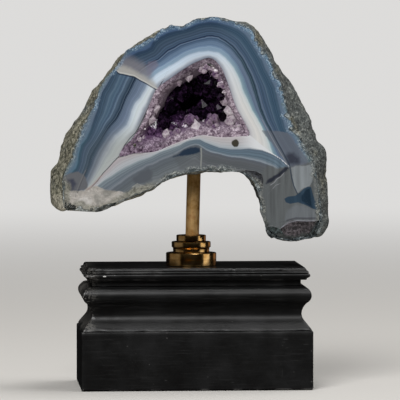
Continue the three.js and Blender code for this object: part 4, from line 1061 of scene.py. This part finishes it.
def board(name, profile, node, wear, step):
    """A four-sided board or moulding from its profile, given as (inset, height) in mm."""
    bm = bmesh.new()
    worn = bm.verts.layers.float.new("worn")
    loops = []
    for inset, height in profile:
        half_x, half_y = PLINTH_HALF[0] - inset, PLINTH_HALF[1] - inset
        corners = [(-half_x, -half_y), (half_x, -half_y), (half_x, half_y), (-half_x, half_y)]
        ring = [bm.verts.new((x * MM, y * MM, height * MM)) for x, y in corners]
        loops.append([bm.edges.new(pair) for pair in zip(ring, ring[1:] + ring[:1])])
    for lower_loop, upper_loop in zip(loops, loops[1:]):
        bmesh.ops.bridge_loops(bm, edges=lower_loop + upper_loop)
    for loop in (loops[0], loops[-1]):
        bmesh.ops.holes_fill(bm, edges=loop, sides=0)
    mitres = [e for e in bm.edges if len({round(abs(v.co.x) + abs(v.co.y), 7) for v in e.verts}) == 2
              or abs(e.verts[0].co.z - e.verts[1].co.z) > 1e-6]
    bmesh.ops.bevel(bm, geom=mitres, offset=0.45 * MM, segments=2, profile=0.5, affect="EDGES", material=-1)
    for axis, half in enumerate(PLINTH_HALF):
        count = round(2 * half / step)
        normal = [0, 0, 0]
        normal[axis] = 1
        for k in range(1, count):
            at = [0, 0, 0]
            at[axis] = (2 * half * k / count - half) * MM
            bmesh.ops.bisect_plane(bm, geom=bm.verts[:] + bm.edges[:] + bm.faces[:], dist=1e-7, plane_co=at,
                                   plane_no=normal)
    bm.normal_update()
    for v in bm.verts:
        turns = [e.calc_face_angle(0) for e in v.link_edges if len(e.link_faces) == 2]
        v[worn] = min(1.0, max(turns, default=0) / 0.9)
    wear(bm)
    bmesh.ops.recalc_face_normals(bm, faces=bm.faces)
    mesh = bpy.data.meshes.new(name)
    bm.to_mesh(mesh)
    bm.free()
    mesh.shade_smooth()
    mesh.set_sharp_from_angle(angle=math.radians(34))
    piece = bpy.data.objects.new(name, mesh)
    bpy.context.scene.collection.objects.link(piece)
    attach(piece, "root")
    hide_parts(node)
    return piece


def towards_middle(v, amount):
    """Moves a point in from the sides of the plinth, by an amount in mm."""
    away = Vector((max(0, abs(v.co.x) - 70 * MM) * math.copysign(1, v.co.x),
                   max(0, abs(v.co.y) - 32 * MM) * math.copysign(1, v.co.y), 0))
    if away.length:
        v.co -= away.normalized() * amount * MM


def wear_block(bm):
    for v in bm.verts:
        knock = max(0.0, noise.noise(v.co / (9 * MM)) - 0.25) * 1.6
        if abs(v.co.x) > 79 * MM and abs(v.co.y) > 41 * MM or v.co.z > 39.5 * MM:
            towards_middle(v, knock * 0.9)


def wear_moulding(bm):
    for v in bm.verts:
        wave = 0.12 * noise.noise(v.co / (22 * MM)) + 0.12
        corner = abs(v.co.x) > 70 * MM and abs(v.co.y) > 33 * MM
        knock = max(0.0, noise.noise(v.co / (6 * MM)) - 0.2) * (1.3 if corner else 0.3)
        if v.co.z < 42 * MM:
            knock += max(0.0, noise.noise(v.co / (5 * MM) + Vector((3, 0, 0))) - 0.1) * 1.1
        towards_middle(v, wave + knock)


def wear_cap(bm):
    for v in bm.verts:
        amount = 0.1 + 0.12 * noise.noise(v.co / (15 * MM))
        if v.co.z > 76.5 * MM:
            for x, half, depth in LIP_KNOCKS:
                apart = abs(v.co.x / MM - x) / half
                if apart < 1 and v.co.y < -30 * MM:
                    amount += depth * (1 - apart * apart) * (0.6 + 0.8 * noise.noise(v.co / (2 * MM)))
            if v.co.x < -72 * MM:
                amount += max(0.0, 0.7 + 2.2 * noise.noise(v.co / (4 * MM)))
        towards_middle(v, max(0.0, amount))


block = board("plinth_block", BLOCK_PROFILE, "plinth_block", wear_block, 2.5)
moulding = board("plinth_moulding", MOULDING_PROFILE, "plinth_moulding", wear_moulding, 2.5)
cap = board("plinth_cap", CAP_PROFILE, "plinth_cap", wear_cap, 1.6)

black, tree, shader = new_material("black_paint", IOR=1.48, Specular_IOR_Level=0.42)
place = put(tree, "TexCoord").outputs["Object"]
long_way = put(tree, "Mapping", {"Vector": place, "Scale": (40, 260, 900)}).outputs["Vector"]
wood = put(tree, "TexNoise", {"Vector": long_way, "Scale": 1.0, "Detail": 5.0, "Roughness": 0.65}).outputs["Fac"]
cloud = put(tree, "TexNoise", {"Vector": place, "Scale": 45.0, "Detail": 6.0, "Roughness": 0.6}).outputs["Fac"]
dust = put(tree, "TexNoise", {"Vector": place, "Scale": 900.0, "Detail": 3.0}).outputs["Fac"]
colour = ramp(tree, cloud, [(0.3, (15, 14, 14)), (0.5, (18, 18, 18)), (0.7, (24, 24, 25))])
colour = laid_over(tree, mask(tree, wood, 0.52, 0.68, 0.5), colour, linear(40, 40, 41))
rubbed = math_of(tree, "MULTIPLY", carried(tree, "worn"), mask(tree, cloud, 0.4, 0.62))
colour = laid_over(tree, mask(tree, rubbed, 0.45, 0.9, 0.6), colour, linear(88, 87, 86))
left_end = put(tree, "SeparateXYZ", {"Vector": place})
bare = math_of(tree, "MULTIPLY", mask(tree, left_end.outputs["X"], -0.066, -0.077),
               mask(tree, left_end.outputs["Z"], 0.039, 0.044))
bare = math_of(tree, "MULTIPLY", bare, mask(tree, math_of(tree, "ADD", dust, cloud), 0.9, 1.12))
colour = laid_over(tree, math_of(tree, "MULTIPLY", bare, 0.8), colour, linear(108, 106, 102))
flecks = put(tree, "TexVoronoi", {"Vector": place, "Scale": 330.0})
few = put(tree, "SeparateColor", {"Color": flecks.outputs["Color"]}).outputs[0]
fleck = math_of(tree, "MULTIPLY", mask(tree, flecks.outputs["Distance"], 0.2, 0.1), mask(tree, few, 0.93, 0.97))
colour = laid_over(tree, fleck, colour, linear(70, 69, 68))
# Chips and scratches in the paint: middle (x, z) in mm, half sizes, colour and strength
PAINT_MARKS = [
    (-64, 78.9, 1.4, 0.5, (196, 196, 194), 1.0), (-57, 79.6, 0.6, 0.4, (120, 120, 118), 0.8),
    (-73, 75.4, 2.2, 0.6, (96, 95, 92), 0.7), (-69.5, 76.6, 1.8, 0.4, (84, 83, 82), 0.7),
    (-12, 42.9, 7, 0.35, (9, 9, 9), 0.9), (-3, 42.2, 8, 0.3, (9, 9, 9), 0.8), (44, 79, 0.5, 0.5, (92, 92, 90), 0.8),
    (60.6, 35.2, 2.1, 0.25, (64, 64, 64), 0.8), (59.4, 33.2, 1.6, 0.2, (56, 56, 56), 0.8),
    (58.6, 31, 0.9, 0.2, (60, 60, 60), 0.8), (61.8, 29.2, 1.1, 0.2, (52, 52, 52), 0.8),
    (58.4, 12, 0.25, 4.5, (40, 40, 40), 0.8), (75, 31.5, 2.4, 0.25, (50, 50, 50), 0.8),
    (67, 20.5, 3.4, 0.2, (46, 46, 46), 0.7), (-22, 7.2, 1.2, 0.3, (58, 58, 58), 0.7),
    (7, 9.4, 0.7, 0.4, (62, 62, 62), 0.7), (24, 5.6, 1.4, 0.25, (50, 50, 50), 0.7),
]
for x, z, half_x, half_z, mark_colour, strength in PAINT_MARKS:
    apart_x = math_of(tree, "MULTIPLY", math_of(tree, "SUBTRACT", left_end.outputs["X"], x * MM), 1 / (half_x * MM))
    apart_z = math_of(tree, "MULTIPLY", math_of(tree, "SUBTRACT", left_end.outputs["Z"], z * MM), 1 / (half_z * MM))
    apart = math_of(tree, "ADD", math_of(tree, "MULTIPLY", apart_x, apart_x),
                    math_of(tree, "MULTIPLY", apart_z, apart_z))
    apart = math_of(tree, "ADD", apart, math_of(tree, "MULTIPLY", dust, 0.8))
    share = math_of(tree, "MULTIPLY", mask(tree, apart, 1.3, 0.8, strength),
                    mask(tree, left_end.outputs["Y"], -0.033, -0.036))
    colour = laid_over(tree, share, colour, linear(*mark_colour))
tree.links.new(colour, shader.inputs["Base Color"])
rough = put(tree, "MapRange", {"Value": cloud, "From Min": 0.3, "From Max": 0.7, "To Min": 0.3,
                               "To Max": 0.44}).outputs["Result"]
tree.links.new(rough, shader.inputs["Roughness"])
height = math_of(tree, "ADD", wood, math_of(tree, "MULTIPLY", dust, 0.35))
bump = put(tree, "Bump", {"Strength": 0.35, "Distance": 0.12 * MM, "Height": height})
tree.links.new(bump.outputs["Normal"], shader.inputs["Normal"])
for piece in (block, moulding, cap):
    piece.data.materials.append(black)


# The studio: a plain pale floor, a large soft light above the front and a weaker one on each side
VIEW_YAW = 0.0716
VIEW_PITCH = 0.0483
VIEW_FROM = Vector((-194.9, -2781.6, 264.2)) * MM
camera_data = bpy.data.cameras.new("camera")
camera_data.sensor_width = 36
camera_data.lens = 360
camera_data.clip_start = 0.1
camera_data.clip_end = 100
camera = bpy.data.objects.new("camera", camera_data)
camera.location = VIEW_FROM
camera.rotation_euler = (math.pi / 2 - VIEW_PITCH, 0, -VIEW_YAW)
bpy.context.scene.collection.objects.link(camera)
bpy.context.scene.camera = camera
bpy.context.scene.view_settings.view_transform = "Standard"

bm = bmesh.new()
bmesh.ops.create_circle(bm, cap_ends=True, segments=96, radius=6.0)
mesh = bpy.data.meshes.new("floor")
bm.to_mesh(mesh)
bm.free()
floor = bpy.data.objects.new("floor", mesh)
floor.location.z = -0.3 * MM
bpy.context.scene.collection.objects.link(floor)
pale, tree, shader = new_material("floor", Roughness=0.8, Specular_IOR_Level=0.1)
shader.inputs["Base Color"].default_value = linear(214, 211, 206)
far = put(tree, "VectorMath", {0: put(tree, "TexCoord").outputs["Object"]}, operation="LENGTH")
far = mask(tree, far.outputs["Value"], 0.35, 2.6)
far = math_of(tree, "MULTIPLY", far, put(tree, "LightPath").outputs["Is Camera Ray"])
haze = put(tree, "Emission", {"Color": (1.0, 0.99, 0.975, 1.0), "Strength": 0.72})
blend = put(tree, "MixShader", {0: far, 1: shader.outputs[0], 2: haze.outputs[0]})
tree.links.new(blend.outputs[0], tree.nodes["Material Output"].inputs["Surface"])
floor.data.materials.append(pale)
floor.visible_glossy = False


def soft_light(name, place, wide, tall, power, colour=(1, 1, 1), glint_only=False):
    """A soft light in metres, turned towards the object; a card shows only as a reflection."""
    data = bpy.data.lights.new(name, "AREA")
    data.shape = "RECTANGLE"
    data.size = wide
    data.size_y = tall
    data.energy = power
    data.color = colour
    light = bpy.data.objects.new(name, data)
    light.location = place
    light.rotation_euler = (Vector(place) - Vector((0, 0, 0.15))).to_track_quat("Z", "Y").to_euler()
    light.visible_diffuse = not glint_only
    bpy.context.scene.collection.objects.link(light)


soft_light("key", (-0.8, -2.1, 1.9), 1.2, 1.2, 58)
soft_light("top", (0.6, 0.0, 2.3), 1.2, 1.2, 28)
soft_light("right_card", (1.8, -0.62, 0.25), 1.1, 1.1, 5, glint_only=True)
soft_light("left_card", (-1.9, -0.1, 0.25), 2.4, 1.1, 1.8, glint_only=True)
soft_light("rear_card", (1.4, 1.3, 0.3), 0.9, 0.9, 0.9, (1.0, 0.66, 0.42), glint_only=True)
soft_light("sparkle", (0.9, -1.5, 1.4), 0.5, 0.5, 9, glint_only=True)

world = bpy.data.worlds.new("studio")
world.use_nodes = True
bpy.context.scene.world = world
tree = world.node_tree
behind_all = tree.nodes["Background"]
rays = put(tree, "LightPath")
lit = put(tree, "MapRange", {"Value": rays.outputs["Is Glossy Ray"], "To Min": 0.15, "To Max": 0.007})
strength = put(tree, "MapRange", {"Value": rays.outputs["Is Camera Ray"], "To Min": lit.outputs["Result"],
                                  "To Max": 0.72}).outputs["Result"]
behind_all.inputs["Color"].default_value = (1.0, 0.99, 0.975, 1.0)
tree.links.new(strength, behind_all.inputs["Strength"])
